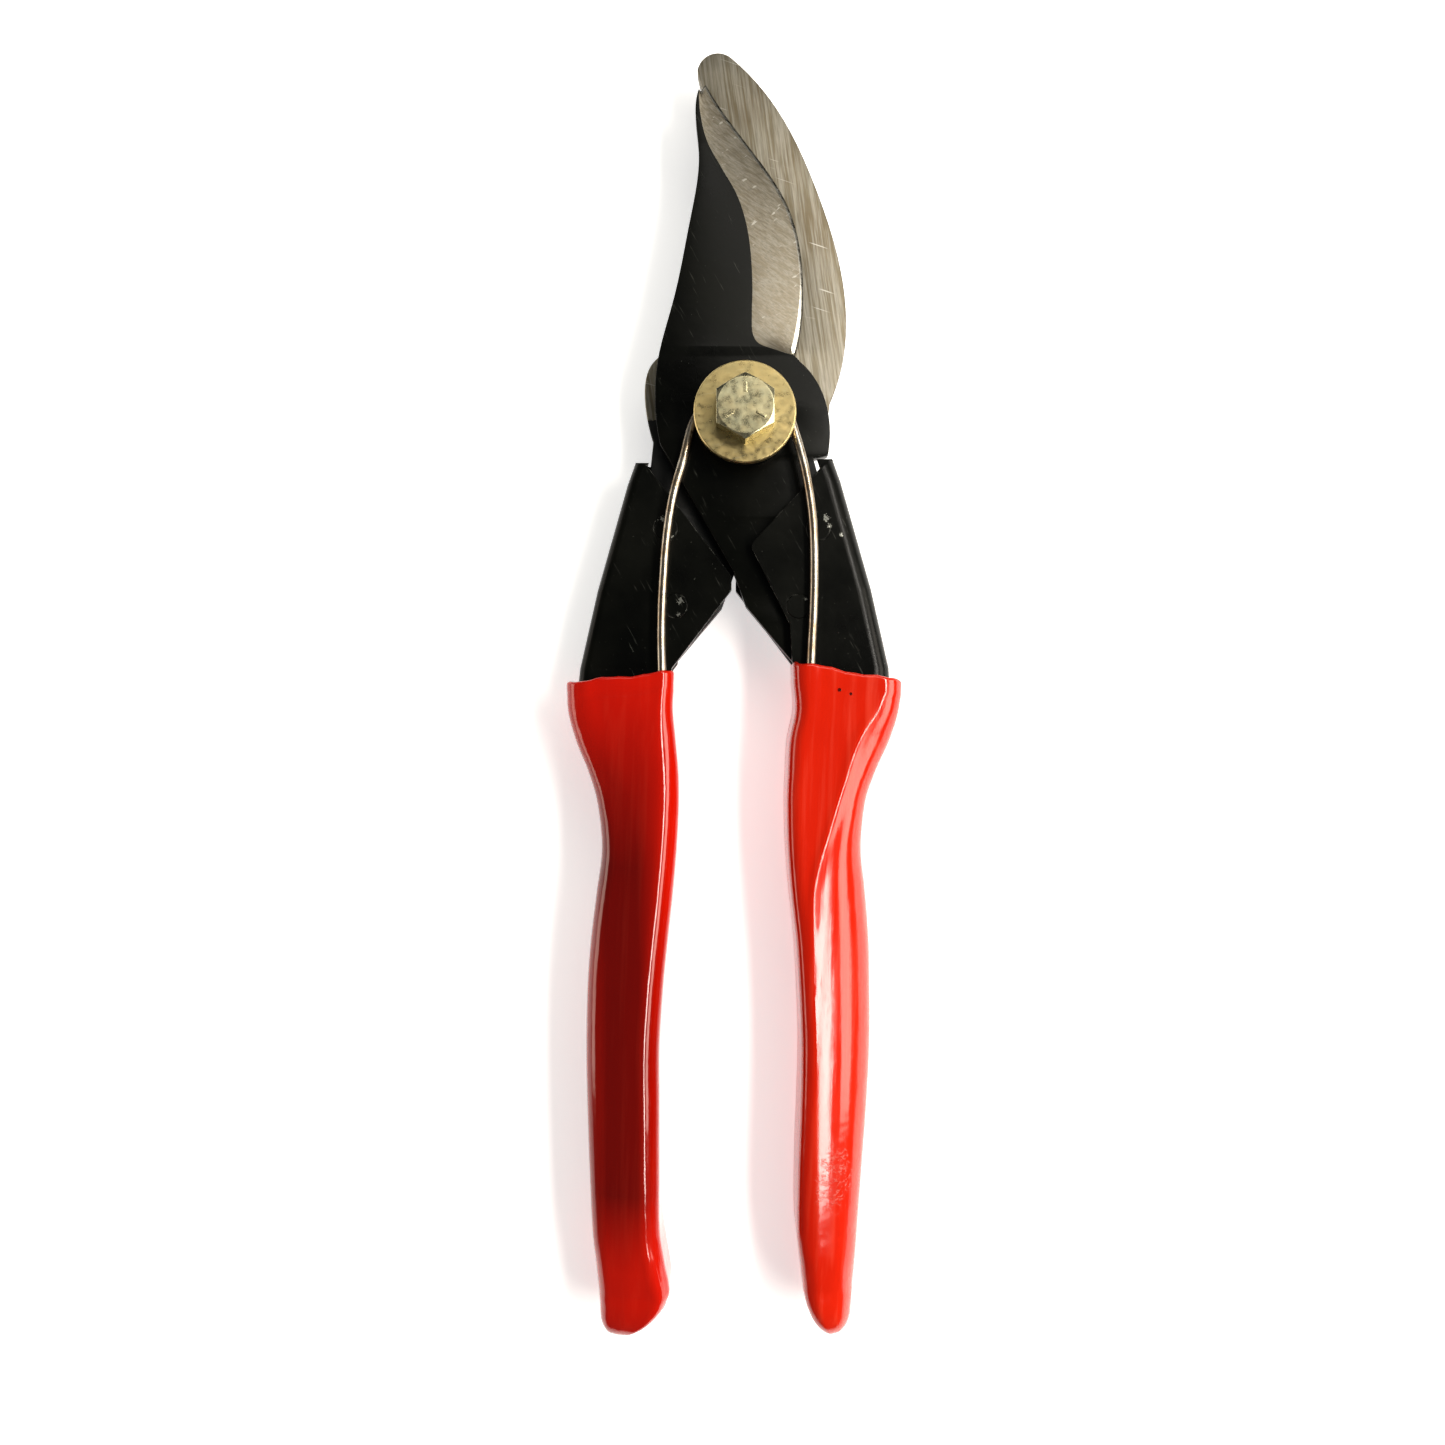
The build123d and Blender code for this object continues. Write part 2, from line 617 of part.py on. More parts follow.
with BuildPart() as catch_spacer:
    with BuildSketch(Plane(origin=(*CATCH_PIVOT, CATCH_Z + CATCH_T + CATCH_FIT))):
        Circle(CATCH_HEAD_D / 2)
        Circle(CATCH_RIVET_D / 2, mode=Mode.SUBTRACT)
    extrude(amount=HOOK_Z - CATCH_Z - CATCH_T - CATCH_FIT)
finish_piece(catch_spacer.part, "catch_spacer")

with BuildPart() as keeper_pin:
    with BuildSketch(Plane(origin=(*KEEPER, KEEPER_END_Z))):
        Circle(KEEPER_D / 2)
    extrude(amount=BLADE_Z - KEEPER_END_Z)
    chamfer(keeper_pin.edges().group_by(Axis.Z)[0], KEEPER_CHAMFER)
finish_piece(keeper_pin.part, "keeper_pin")
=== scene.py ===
"""Looks for a bypass pruner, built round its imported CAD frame.

Sizes are in millimetres in the frame's own axes: the pivot is the Z axis, the blades point
along +Y, and the distance towards the handle ends is called t, so y = -t. Meshes are in metres.
"""
import logging
from collections.abc import Callable, Sequence
from dataclasses import dataclass, field
from enum import Enum
from math import cos, exp, hypot, pi, radians, sin
from typing import Any

import bmesh
import bpy
from bpy.types import Material, Mesh, Node, NodeSocket, NodeTree, Object
from mathutils import Matrix, Vector
from mathutils.geometry import tessellate_polygon


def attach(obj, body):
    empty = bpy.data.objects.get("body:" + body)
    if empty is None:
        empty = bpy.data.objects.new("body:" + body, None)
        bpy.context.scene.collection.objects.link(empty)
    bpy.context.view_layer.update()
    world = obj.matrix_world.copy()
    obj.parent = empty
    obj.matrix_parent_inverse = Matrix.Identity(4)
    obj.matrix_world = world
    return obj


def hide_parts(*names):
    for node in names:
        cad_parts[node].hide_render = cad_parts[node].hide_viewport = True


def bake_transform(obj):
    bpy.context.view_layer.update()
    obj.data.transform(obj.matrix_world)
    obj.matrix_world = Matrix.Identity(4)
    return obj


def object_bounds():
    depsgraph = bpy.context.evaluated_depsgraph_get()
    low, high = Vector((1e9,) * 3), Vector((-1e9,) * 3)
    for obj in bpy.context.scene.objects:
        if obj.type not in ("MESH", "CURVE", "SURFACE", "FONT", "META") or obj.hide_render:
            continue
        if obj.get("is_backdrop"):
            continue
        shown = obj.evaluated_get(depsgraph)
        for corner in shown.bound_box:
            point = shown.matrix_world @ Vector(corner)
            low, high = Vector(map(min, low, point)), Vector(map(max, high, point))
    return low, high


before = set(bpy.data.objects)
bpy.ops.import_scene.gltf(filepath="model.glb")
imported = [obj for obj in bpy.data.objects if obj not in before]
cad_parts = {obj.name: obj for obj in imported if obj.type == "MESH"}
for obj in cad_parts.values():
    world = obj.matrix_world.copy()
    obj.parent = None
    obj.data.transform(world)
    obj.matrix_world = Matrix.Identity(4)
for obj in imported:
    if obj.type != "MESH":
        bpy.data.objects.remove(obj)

LOG = logging.getLogger("pruner")
MM = 0.001
WELD = 1e-7          # seams closer than this, in metres, are closed
LEVEL_FIT = 0.005    # how level a CAD face's corners have to be
OUTLINE_STEP = 0.9
PLATE_SHARP = 24.0   # degrees: edges of a plate that turn more than this stay crisp
SOFT_SHARP = 60.0    # and those of a soft piece
SWEPT_SHARP = 40.0

Point = tuple[float, float]
Place = tuple[float, float, float]
Loop = list[Point]
Rows = Sequence[Sequence[float]]


class Body(str, Enum):
    """The moving bodies of the frame."""

    COUNTER = "counter_side"
    CUTTING = "cutting_side"
    CATCH = "catch"


# --- numbers and curves ---


def linear(hex_colour: str) -> tuple[float, float, float, float]:
    """Turn an sRGB hex colour into linear RGBA.

    Args:
        hex_colour: Six hex digits.

    Returns:
        Linear red, green, blue and an alpha of 1.
    """
    parts = [int(hex_colour[i : i + 2], 16) / 255 for i in (0, 2, 4)]
    r, g, b = (c / 12.92 if c <= 0.04045 else ((c + 0.055) / 1.055) ** 2.4 for c in parts)
    return (r, g, b, 1.0)


def share(value: float, start: float, end: float) -> float:
    """How far value is on the way from start to end, eased, from 0 to 1."""
    x = min(max((value - start) / (end - start), 0.0), 1.0)
    return x * x * (3 - 2 * x)


def bump(value: float, middle: float, half_width: float) -> float:
    """A smooth bump of height 1 about middle."""
    return exp(-(((value - middle) / half_width) ** 2))


def smooth_table(rows: Rows) -> Callable[[float], list[float]]:
    """Make a smooth function through a table's rows.

    Args:
        rows: Rows of (place, value, value, ...), by rising place.

    Returns:
        A function from a place to the list of values there.
    """
    places = [row[0] for row in rows]
    last = len(rows) - 1

    def slope(i: int, column: int) -> float:
        """The curve's slope at row i."""
        a, b = max(i - 1, 0), min(i + 1, last)
        return (rows[b][column] - rows[a][column]) / (places[b] - places[a])

    def at(place: float) -> list[float]:
        """The values at one place."""
        place = min(max(place, places[0]), places[-1])
        i = max(k for k in range(last) if places[k] <= place)
        step = places[i + 1] - places[i]
        s = (place - places[i]) / step
        h = (2 * s**3 - 3 * s**2 + 1, s**3 - 2 * s**2 + s, 3 * s**2 - 2 * s**3, s**3 - s**2)
        return [
            h[0] * rows[i][c]
            + h[1] * step * slope(i, c)
            + h[2] * rows[i + 1][c]
            + h[3] * step * slope(i + 1, c)
            for c in range(1, len(rows[0]))
        ]

    return at


def sample_curve(points: Sequence[Sequence[float]], count: int) -> list[tuple[float, ...]]:
    """Sample a smooth curve through some points, evenly by the length of its chords.

    Args:
        points: Points of two or three coordinates.
        count: How many samples to take.

    Returns:
        The samples, with both ends included.
    """
    rows = [(0.0, *points[0])]
    for a, b in zip(points, points[1:]):
        step = sum((q - p) ** 2 for p, q in zip(a, b)) ** 0.5
        rows.append((rows[-1][0] + step, *b))
    at = smooth_table(rows)
    return [tuple(at(rows[-1][0] * i / (count - 1))) for i in range(count)]


# --- shader nodes ---


def add_node(tree: NodeTree, kind: str, inputs: dict[str | int, Any] | Sequence[Any] = (),
             **settings: Any) -> Node:
    """Add a node with its settings, constants and links.

    Args:
        tree: The tree that gets the node.
        kind: The node's type.
        inputs: A constant, a hex colour or the socket that feeds it, for each of the node's
            open inputs in order, or a dict of them by the input's name.
        **settings: Properties of the node.

    Returns:
        The new node.
    """
    node = tree.nodes.new(kind)
    for name, value in settings.items():
        setattr(node, name, value)
    if not isinstance(inputs, dict):
        numbers = [i for i, socket in enumerate(node.inputs) if socket.enabled]
        inputs = dict(zip(numbers, inputs))
    for key, value in inputs.items():
        if isinstance(value, NodeSocket):
            tree.links.new(value, node.inputs[key])
        else:
            node.inputs[key].default_value = linear(value) if isinstance(value, str) else value
    return node


@dataclass
class Surface:
    """A material's node tree, with the few patterns that its finish is put together from."""

    name: str
    material: Material = field(init=False)
    tree: NodeTree = field(init=False)
    shader: Node = field(init=False)
    coords: NodeSocket = field(init=False)

    def __post_init__(self) -> None:
        """Start an empty material with a Principled shader."""
        self.material = bpy.data.materials.new(self.name)
        self.material.use_nodes = True
        self.tree = self.material.node_tree
        self.tree.nodes.clear()
        self.shader = add_node(self.tree, "ShaderNodeBsdfPrincipled")
        add_node(self.tree, "ShaderNodeOutputMaterial", {"Surface": self.shader.outputs[0]})
        self.coords = self.add("TexCoord", output="Object")

    def add(self, kind: str, *inputs: Any, output: str = "", **settings: Any) -> NodeSocket:
        """Add a node to this material and return its named output, or its first open one."""
        node = add_node(self.tree, "ShaderNode" + kind, inputs, **settings)
        return node.outputs[output] if output else next(o for o in node.outputs if o.enabled)

    def set(self, **inputs: Any) -> None:
        """Set the shader's inputs, given by their names with underscores for spaces."""
        for name, value in inputs.items():
            socket = self.shader.inputs[name.replace("_", " ")]
            if isinstance(value, NodeSocket):
                self.tree.links.new(value, socket)
            else:
                socket.default_value = value

    def coats(self, base: Any, *layers: tuple) -> NodeSocket:
        """Lay colours over one another.

        Args:
            base: The colour underneath, as hex or a socket.
            *layers: (mask, colour) or (mask, colour, strength) for each one over it.

        Returns:
            The colour that shows.
        """
        for mask, colour, *strength in layers:
            if strength:
                mask = self.add("Math", mask, *strength, operation="MULTIPLY")
            base = self.add("Mix", mask, base, colour, data_type="RGBA")
        return base

    def spots(self, size_mm: float, detail: float = 2.0, rough: float = 0.5,
              stretch: Sequence[float] = (1, 1, 1), turn: float = 0.0) -> NodeSocket:
        """Noise from 0 to 1.

        Args:
            size_mm: The size of a blotch.
            detail: Number of finer octaves.
            rough: Strength of the finer octaves.
            stretch: How much longer a blotch is along each axis.
            turn: Turn of the stretched axes about Z, in degrees.

        Returns:
            The noise value.
        """
        turned = self.add("Mapping", self.coords, (0, 0, 0), (0, 0, radians(turn)),
                          vector_type="TEXTURE")
        placed = self.add("VectorMath", turned, [1 / s for s in stretch],
                          operation="MULTIPLY")
        return self.add("TexNoise", placed, 1 / (size_mm * MM), detail, rough)

    def near(self, x: float, y: float, radius: float, wobble: float = 0.0,
             long: float = 1.0) -> NodeSocket:
        """A patch about a point, through all depths, from 1 inside to 0 outside.

        Args:
            x: Place across, in millimetres.
            y: Place along, in millimetres.
            radius: The patch's half width, in millimetres.
            wobble: How ragged its edge is, as a share of the radius.
            long: How much longer it is along Y.

        Returns:
            The patch's mask.
        """
        off = self.add("VectorMath", self.coords, (x * MM, y * MM, 0), operation="SUBTRACT")
        flat = self.add("VectorMath", off, (1 / MM, 1 / MM / long, 0), operation="MULTIPLY")
        distance = self.add("VectorMath", flat, operation="LENGTH")
        core = 0.7 * radius
        if wobble:
            reach = wobble * radius
            ragged = self.add("MapRange", self.spots(core, 3), 0.2, 0.8, -reach, reach)
            distance = self.add("Math", distance, ragged, operation="ADD")
        return self.add("MapRange", distance, core, radius, 1.0, 0.0)

    def any_of(self, masks: Sequence[NodeSocket]) -> NodeSocket:
        """The highest of several masks."""
        top = masks[0]
        for mask in masks[1:]:
            top = self.add("Math", top, mask, operation="MAXIMUM")
        return top

    def worn_edges(self, radius_mm: float, amount: float) -> NodeSocket:
        """A mask of the sharp edges, broken up by noise.

        Args:
            radius_mm: How far wear reaches from an edge.
            amount: Share of the edges that is worn.

        Returns:
            The mask.
        """
        soft = self.add("Bevel", radius_mm * MM, samples=4)
        plain = self.add("NewGeometry", output="True Normal")
        even = self.add("VectorMath", soft, plain, operation="DOT_PRODUCT")
        edge = self.add("MapRange", even, 0.97, 0.86)
        start = 0.62 - 0.3 * amount
        broken = self.add("MapRange", self.spots(1.6, 4), start, start + 0.1)
        return self.add("Math", edge, broken, operation="MULTIPLY")

    def relief(self, height: NodeSocket, depth_mm: float, edge_mm: float = 0.0) -> NodeSocket:
        """A bumped normal, with edges rounded by edge_mm when that is given."""
        inputs = {"Height": height, "Distance": depth_mm * MM, "Strength": 1.0}
        if edge_mm:
            inputs["Normal"] = self.add("Bevel", edge_mm * MM, samples=6)
        return add_node(self.tree, "ShaderNodeBump", inputs).outputs[0]


# --- finishes ---


@dataclass(frozen=True)
class Enamel:
    """Black stoving enamel sprayed on pressed steel: a wet, slightly rippled gloss with dust
    specks in it, worn to metal on the sharpest edges and chipped where the rivets were set."""

    name: str = "black_stoving_enamel"
    colour: str = "080907"
    chips: tuple[Place, ...] = ()

    def surface(self) -> Material:
        """Build the material."""
        s = Surface(self.name)
        specks = s.add("MapRange", s.spots(0.55, 2, 0.6), 0.72, 0.78)
        haze = s.spots(14, 4, 0.6)
        scuffs = s.add("MapRange", s.spots(0.5, 3, 0.6, (1, 14, 1), 28), 0.66, 0.74)
        worn = s.add("Math", s.worn_edges(0.2, 0.35), 0.5, operation="MULTIPLY")
        metal = s.any_of([worn, *(s.near(x, y, r, 1.5) for x, y, r in self.chips)])
        rough = s.add("MapRange", haze, 0.3, 0.7, 0.24, 0.38)
        ripple = s.add("Math", specks, 0.5, s.spots(2.6, 3, 0.55), operation="MULTIPLY_ADD")
        s.set(
            Base_Color=s.coats(self.colour, (s.add("MapRange", haze, 0.35, 0.7), "10110C"),
                               (specks, "6E7268", 0.35), (scuffs, "8A8D84", 0.14),
                               (metal, "A9AAA2")),
            Metallic=s.add("Math", metal, 0.9, operation="MULTIPLY"),
            Roughness=s.add("Math", scuffs, 0.2, rough, operation="MULTIPLY_ADD"),
            Specular_IOR_Level=0.17, Coat_Weight=0.06, Coat_Roughness=0.16,
            Normal=s.relief(ripple, 0.035, 0.18),
        )
        return s.material


@dataclass(frozen=True)
class GroundSteel:
    """Carbon steel finished on a belt and then lightly oiled: satin, with fine grain lines
    one way, a few deeper scratches across them and warm stains where the oil has dried."""

    name: str
    grain_turn: float
    colour: str
    stain: str
    stain_amount: float
    rough: float
    enamel_below: float | None = None
    enamel: str = "0B0C0A"

    def surface(self) -> Material:
        """Build the material."""
        s = Surface(self.name)
        grain = s.spots(0.16, 3, 0.7, (1, 26, 1), self.grain_turn)
        coarse = s.spots(0.5, 3, 0.65, (1, 30, 1), self.grain_turn)
        scratches = s.spots(0.7, 2, 0.5, (1, 22, 1), self.grain_turn + 64)
        scratches = s.add("MapRange", scratches, 0.68, 0.73)
        dried = s.add("MapRange", s.spots(9, 4, 0.6), 0.4, 0.72, 0, self.stain_amount)
        steel = s.coats(
            self.colour,
            (dried, self.stain),
            (s.add("MapRange", coarse, 0.4, 0.62, 0, 0.34), "D3D1C8"),
            (s.add("MapRange", grain, 0.55, 0.3, 0, 0.42), "5C5A53"),
            (scratches, "E4E2DA", 0.5),
        )
        bare: Any = 1.0
        if self.enamel_below is not None:
            along = s.add("SeparateXYZ", s.coords, output="Y")
            line, ragged, soft = self.enamel_below * MM, 0.3 * MM, 0.1 * MM
            wave = s.add("MapRange", s.spots(1.4, 3), 0.3, 0.7, -ragged, ragged)
            place = s.add("Math", along, wave, operation="ADD")
            bare = s.add("MapRange", place, line - soft, line + soft)
            steel = s.coats(self.enamel, (bare, steel))
        height = s.add("Math", scratches, -0.8, grain, operation="MULTIPLY_ADD")
        low, high = self.rough - 0.06, self.rough + 0.1
        s.set(Base_Color=steel, Metallic=bare, Anisotropic=0.4,
              Roughness=s.add("MapRange", coarse, 0.3, 0.7, low, high),
              Normal=s.relief(height, 0.012, 0.1))
        return s.material


@dataclass(frozen=True)
class ZincPlate:
    """Turned steel plated with zinc and yellow chromate: pale brassy metal that shifts to
    silver and green, with dark pits and smears of dirt in the machining marks."""

    name: str = "yellow_chromate_zinc"
    colour: str = "CDB985"
    shift: str = "B9AC80"
    rough: float = 0.3

    def surface(self) -> Material:
        """Build the material."""
        s = Surface(self.name)
        tint = s.add("MapRange", s.spots(3.2, 3, 0.6), 0.35, 0.68, 0, 0.7)
        smear = s.add("MapRange", s.spots(0.5, 3, 0.6, (9, 1, 1), 12), 0.6, 0.75, 0, 0.4)
        dirt = s.add("MapRange", s.spots(0.35, 4, 0.7), 0.7, 0.8, 0, 0.4)
        low, high = self.rough - 0.06, self.rough + 0.14
        s.set(Base_Color=s.coats(self.colour, (tint, self.shift), (smear, "D9D2B4"),
                                 (dirt, "4E4530")),
              Metallic=1.0,
              Roughness=s.add("MapRange", s.spots(1.2, 3), 0.3, 0.7, low, high),
              Normal=s.relief(s.spots(0.45, 4, 0.65), 0.007, 0.16))
        return s.material


@dataclass(frozen=True)
class DrawnWire:
    """Nickelled spring wire, drawn through a die: bright along its length, with a warm tan
    tarnish on patches and thin drawing lines along it."""

    name: str = "nickelled_spring_wire"
    colour: str = "B8B0A2"

    def surface(self) -> Material:
        """Build the material."""
        s = Surface(self.name)
        tarnish = s.add("MapRange", s.spots(3.5, 3, 0.6), 0.38, 0.68, 0, 0.75)
        lines = s.spots(0.14, 2, 0.6, (1, 30, 1))
        s.set(Base_Color=s.coats(self.colour, (tarnish, "8B7355")), Metallic=1.0,
              Roughness=s.add("MapRange", lines, 0.3, 0.7, 0.22, 0.4),
              Normal=s.relief(lines, 0.008))
        return s.material


@dataclass(frozen=True)
class DippedVinyl:
    """Red PVC dipped on hot steel: a soft, wet gloss with slow sags along the handle, pale
    streaks along it that are partly drip marks and partly painted sheen, fine pinholes near the
    mouth, light scuffs where it is handled, and on one grip a band of painted shade down the
    middle."""

    name: str
    colour: str
    shade: str
    pinholes: tuple[Place, ...] = ()
    scuffs: tuple[Place, ...] = ()
    # strength of the streaks; their pale tone is partly drip marks and partly painted sheen
    streak: float = 0.3
    # where a band of painted shade lies: its middle across, its half width, and where it starts
    # and ends along Y
    core: tuple[float, float, float, float] | None = None

    def surface(self) -> Material:
        """Build the material."""
        s = Surface(self.name)
        cloud = s.add("MapRange", s.spots(16, 3, 0.5, (1, 2.4, 1)), 0.35, 0.7)
        streaks = s.spots(1.5, 3, 0.55, (1, 26, 1), -2)
        tone = s.coats(self.colour, (cloud, self.shade, 0.5))
        if self.core is not None:
            # a deep red band of painted shade down the middle of the grip
            tone = s.coats(tone, (self.sag(s), "520200"))
        # pale pink streaks along the handle: drip marks in the coat, and painted sheen, much
        # stronger on the cutting grip that faces the window
        pale = s.add("MapRange", streaks, 0.5, 0.72, 0, self.streak * 0.3)
        tone = s.coats(tone, (pale, "F2664A"))
        rough = s.add("MapRange", streaks, 0.35, 0.7, 0.1, 0.1 + 0.25 * self.streak)
        height = s.add("Math", streaks, 0.35, s.spots(5, 2), operation="MULTIPLY_ADD")
        if self.scuffs:
            patch = s.any_of([s.near(x, y, r, 0.6, 1.8) for x, y, r in self.scuffs])
            fine = s.add("MapRange", s.spots(0.5, 4, 0.7, (2, 1, 1)), 0.52, 0.66)
            rub = s.add("Math", patch, fine, operation="MULTIPLY")
            tone = s.coats(tone, (rub, "E89A86", 0.28))
            rough = s.add("Math", rub, 0.25, rough, operation="MULTIPLY_ADD")
            height = s.add("Math", rub, 0.5, height, operation="MULTIPLY_ADD")
        if self.pinholes:
            holes = s.any_of([s.near(x, y, r) for x, y, r in self.pinholes])
            tone = s.coats(tone, (holes, "5A0F06"))
            height = s.add("Math", holes, -3, height, operation="MULTIPLY_ADD")
        s.set(Base_Color=tone, Roughness=rough, IOR=1.5, Coat_Weight=0.35,
              Coat_Roughness=0.07, Normal=s.relief(height, 0.11))
        return s.material

    def sag(self, s: Surface) -> NodeSocket:
        """A mask of a long band of painted shade down the grip's middle, where its red is
        painted deepest.
        """
        x, half, start, end = (v * MM for v in self.core)
        across = s.add("SeparateXYZ", s.coords, output="X")
        across = s.add("Math", across, x, operation="SUBTRACT")
        across = s.add("Math", across, operation="ABSOLUTE")
        along = s.add("SeparateXYZ", s.coords, output="Y")
        side = s.add("MapRange", across, half, half * 0.3, 0, 0.8)
        top = s.add("MapRange", along, start, start - 34 * MM)
        foot = s.add("MapRange", along, end, end + 14 * MM)
        return s.add("Math", side, s.add("Math", top, foot, operation="MULTIPLY"),
                     operation="MULTIPLY")


# --- meshes ---


@dataclass
class MeshSketch:
    """A mesh under construction, in millimetres."""

    points: list[Place] = field(default_factory=list)
    faces: list[tuple[int, ...]] = field(default_factory=list)
    slots: list[int] = field(default_factory=list)

    def ring(self, loop: Sequence[Place]) -> list[int]:
        """Add the points of one ring and return their numbers."""
        start = len(self.points)
        self.points.extend(loop)
        return list(range(start, start + len(loop)))

    def face(self, corners: Sequence[int], slot: int = 0) -> None:
        """Add one face with its material slot."""
        self.faces.append(tuple(corners))
        self.slots.append(slot)

    def bridge(self, a: Sequence[int], b: Sequence[int], slot: int = 0,
               closed: bool = True) -> None:
        """Join two rings of equal length with a band of quads."""
        count = len(a)
        for i in range(count if closed else count - 1):
            j = (i + 1) % count
            self.face((a[i], a[j], b[j], b[i]), slot)

    def cap(self, outer: Sequence[int], holes: Sequence[Sequence[int]] = (),
            slot: int = 0) -> None:
        """Fill a flat outline that may have holes in it."""
        rings = [list(outer), *map(list, holes)]
        flat = [i for ring in rings for i in ring]
        polygons = [[Vector((*self.points[i][:2], 0)) for i in ring] for ring in rings]
        for triangle in tessellate_polygon(polygons):
            self.face([flat[k] for k in triangle], slot)

    def build(self, name: str, materials: Sequence[Material],
              sharp: float = 32.0) -> Object:
        """Turn the sketch into an object with outward faces.

        Args:
            name: The piece's name.
            materials: One material for each slot.
            sharp: Edges that turn by more than this many degrees stay crisp.

        Returns:
            The new object, at the origin.
        """
        mesh = bpy.data.meshes.new(name)
        mesh.from_pydata([[c * MM for c in p] for p in self.points], [], self.faces)
        for material in materials:
            mesh.materials.append(material)
        for polygon, slot in zip(mesh.polygons, self.slots):
            polygon.material_index = slot
        return make_piece(name, mesh, sharp)


def make_piece(name: str, mesh: Mesh, sharp: float) -> Object:
    """Close a mesh's seams, turn its faces outwards, and put it in the scene.

    Args:
        name: The piece's name.
        mesh: Its mesh, in metres.
        sharp: Edges that turn by more than this many degrees stay crisp.

    Returns:
        The piece, at the origin.
    """
    work = bmesh.new()
    work.from_mesh(mesh)
    bmesh.ops.remove_doubles(work, verts=work.verts, dist=WELD)
    bmesh.ops.dissolve_degenerate(work, edges=work.edges, dist=WELD / 10)
    bmesh.ops.recalc_face_normals(work, faces=work.faces)
    work.to_mesh(mesh)
    work.free()
    mesh.name = name
    mesh.shade_smooth()
    mesh.set_sharp_from_angle(angle=radians(sharp))
    piece = bpy.data.objects.new(name, mesh)
    bpy.context.scene.collection.objects.link(piece)
    return piece


def place_piece(piece: Object, body: Body, slot: str, *nodes: str) -> None:
    """Let a finished piece ride on its body and stand for its CAD nodes, and report it.

    Args:
        piece: The piece.
        body: The body that it moves with.
        slot: The record's material slot; not used.
        *nodes: The CAD nodes that it stands for.
    """
    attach(piece, body.value)
    if nodes:
        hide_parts(*nodes)
    LOG.info("%s: %d faces on %s", piece.name, len(piece.data.polygons), body.value)


def dress_node(name: str, material: Material) -> None:
    """Give a CAD node that stays in view its material."""
    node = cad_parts[name]
    if not node.material_slots:
        node.data.materials.append(material)
    for material_slot in node.material_slots:
        material_slot.material = material
    LOG.info("%s: dressed in %s", name, material.name)


def signed_area(loop: Loop) -> float:
    """The area inside a loop, positive if it runs anticlockwise."""
    return sum(a[0] * b[1] - b[0] * a[1] for a, b in zip(loop, loop[1:] + loop[:1])) / 2


def face_loops(node: str, level: float) -> list[Loop]:
    """Read the outlines of a CAD node's flat face.

    Args:
        node: The CAD node's name.
        level: The face's height, in millimetres.

    Returns:
        The outer outline, anticlockwise, and then the holes, clockwise.
    """
    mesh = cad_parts[node].data
    spots = [tuple(round(c / MM, 3) for c in v.co) for v in mesh.vertices]
    edges: set[tuple[Point, Point]] = set()
    for polygon in mesh.polygons:
        corners = [spots[i] for i in polygon.vertices]
        if all(abs(c[2] - level) < LEVEL_FIT for c in corners):
            flat = [c[:2] for c in corners]
            if signed_area(flat) < 0:
                flat.reverse()
            for a, b in zip(flat, flat[1:] + flat[:1]):
                if (b, a) in edges:
                    edges.discard((b, a))
                else:
                    edges.add((a, b))
    ways = dict(edges)
    loops = []
    while ways:
        start, here = ways.popitem()
        loop = [start]
        while here != start:
            loop.append(here)
            here = ways.pop(here)
        loops.append(loop)
    return sorted(loops, key=lambda k: -abs(signed_area(k)))


def resample(loop: Loop, step: float) -> Loop:
    """Divide a loop's longer sides so that none is much over step."""
    fine: Loop = []
    for a, b in zip(loop, loop[1:] + loop[:1]):
        parts = max(1, round(hypot(b[0] - a[0], b[1] - a[1]) / step))
        fine += [(a[0] + (b[0] - a[0]) * i / parts, a[1] + (b[1] - a[1]) * i / parts)
                 for i in range(parts)]
    return fine


def inset(loop: Loop, distance: float) -> Loop:
    """Move a loop inwards (or a clockwise hole outwards) by a small distance."""
    moved = []
    for before, here, after in zip(loop[-1:] + loop[:-1], loop, loop[1:] + loop[:1]):
        a = Vector((here[0] - before[0], here[1] - before[1])).normalized()
        b = Vector((after[0] - here[0], after[1] - here[1])).normalized()
        way = Vector((-a.y - b.y, a.x + b.x))
        grow = min(2 / max(way.length_squared, 0.5), 2.5)
        moved.append((here[0] + way.x * distance * grow, here[1] + way.y * distance * grow))
    return moved


@dataclass
class Plate:
    """A flat piece of steel with broken edges, whose outline comes from a CAD node."""

    back: float
    edge: float
    steps: int = 3

    def levels(self, top: float) -> Loop:
        """The side's profile from back to front as (inset, height)."""
        edge = min(self.edge, (top - self.back) / 3)
        turns = [radians(90 * i / self.steps) for i in range(self.steps + 1)]
        low = [(edge * (1 - sin(a)), self.back + edge * (1 - cos(a))) for a in turns]
        return low + [(i, top - (z - self.back)) for i, z in reversed(low)]

    def sides(self, sketch: MeshSketch, loop: Loop,
              tops: Sequence[float]) -> tuple[list[int], list[int]]:
        """Add the side wall of one loop.

        Args:
            sketch: The mesh under construction.
            loop: The loop.
            tops: The front's height at each of its points.

        Returns:
            The back ring and the front ring.
        """
        profiles = [self.levels(top) for top in tops]
        moved = inset(loop, 1.0)
        rings = [
            sketch.ring([
                (p[0] + (q[0] - p[0]) * profile[k][0], p[1] + (q[1] - p[1]) * profile[k][0],
                 profile[k][1])
                for p, q, profile in zip(loop, moved, profiles)
            ])
            for k in range(len(profiles[0]))
        ]
        for a, b in zip(rings, rings[1:]):
            sketch.bridge(a, b)
        return rings[0], rings[-1]


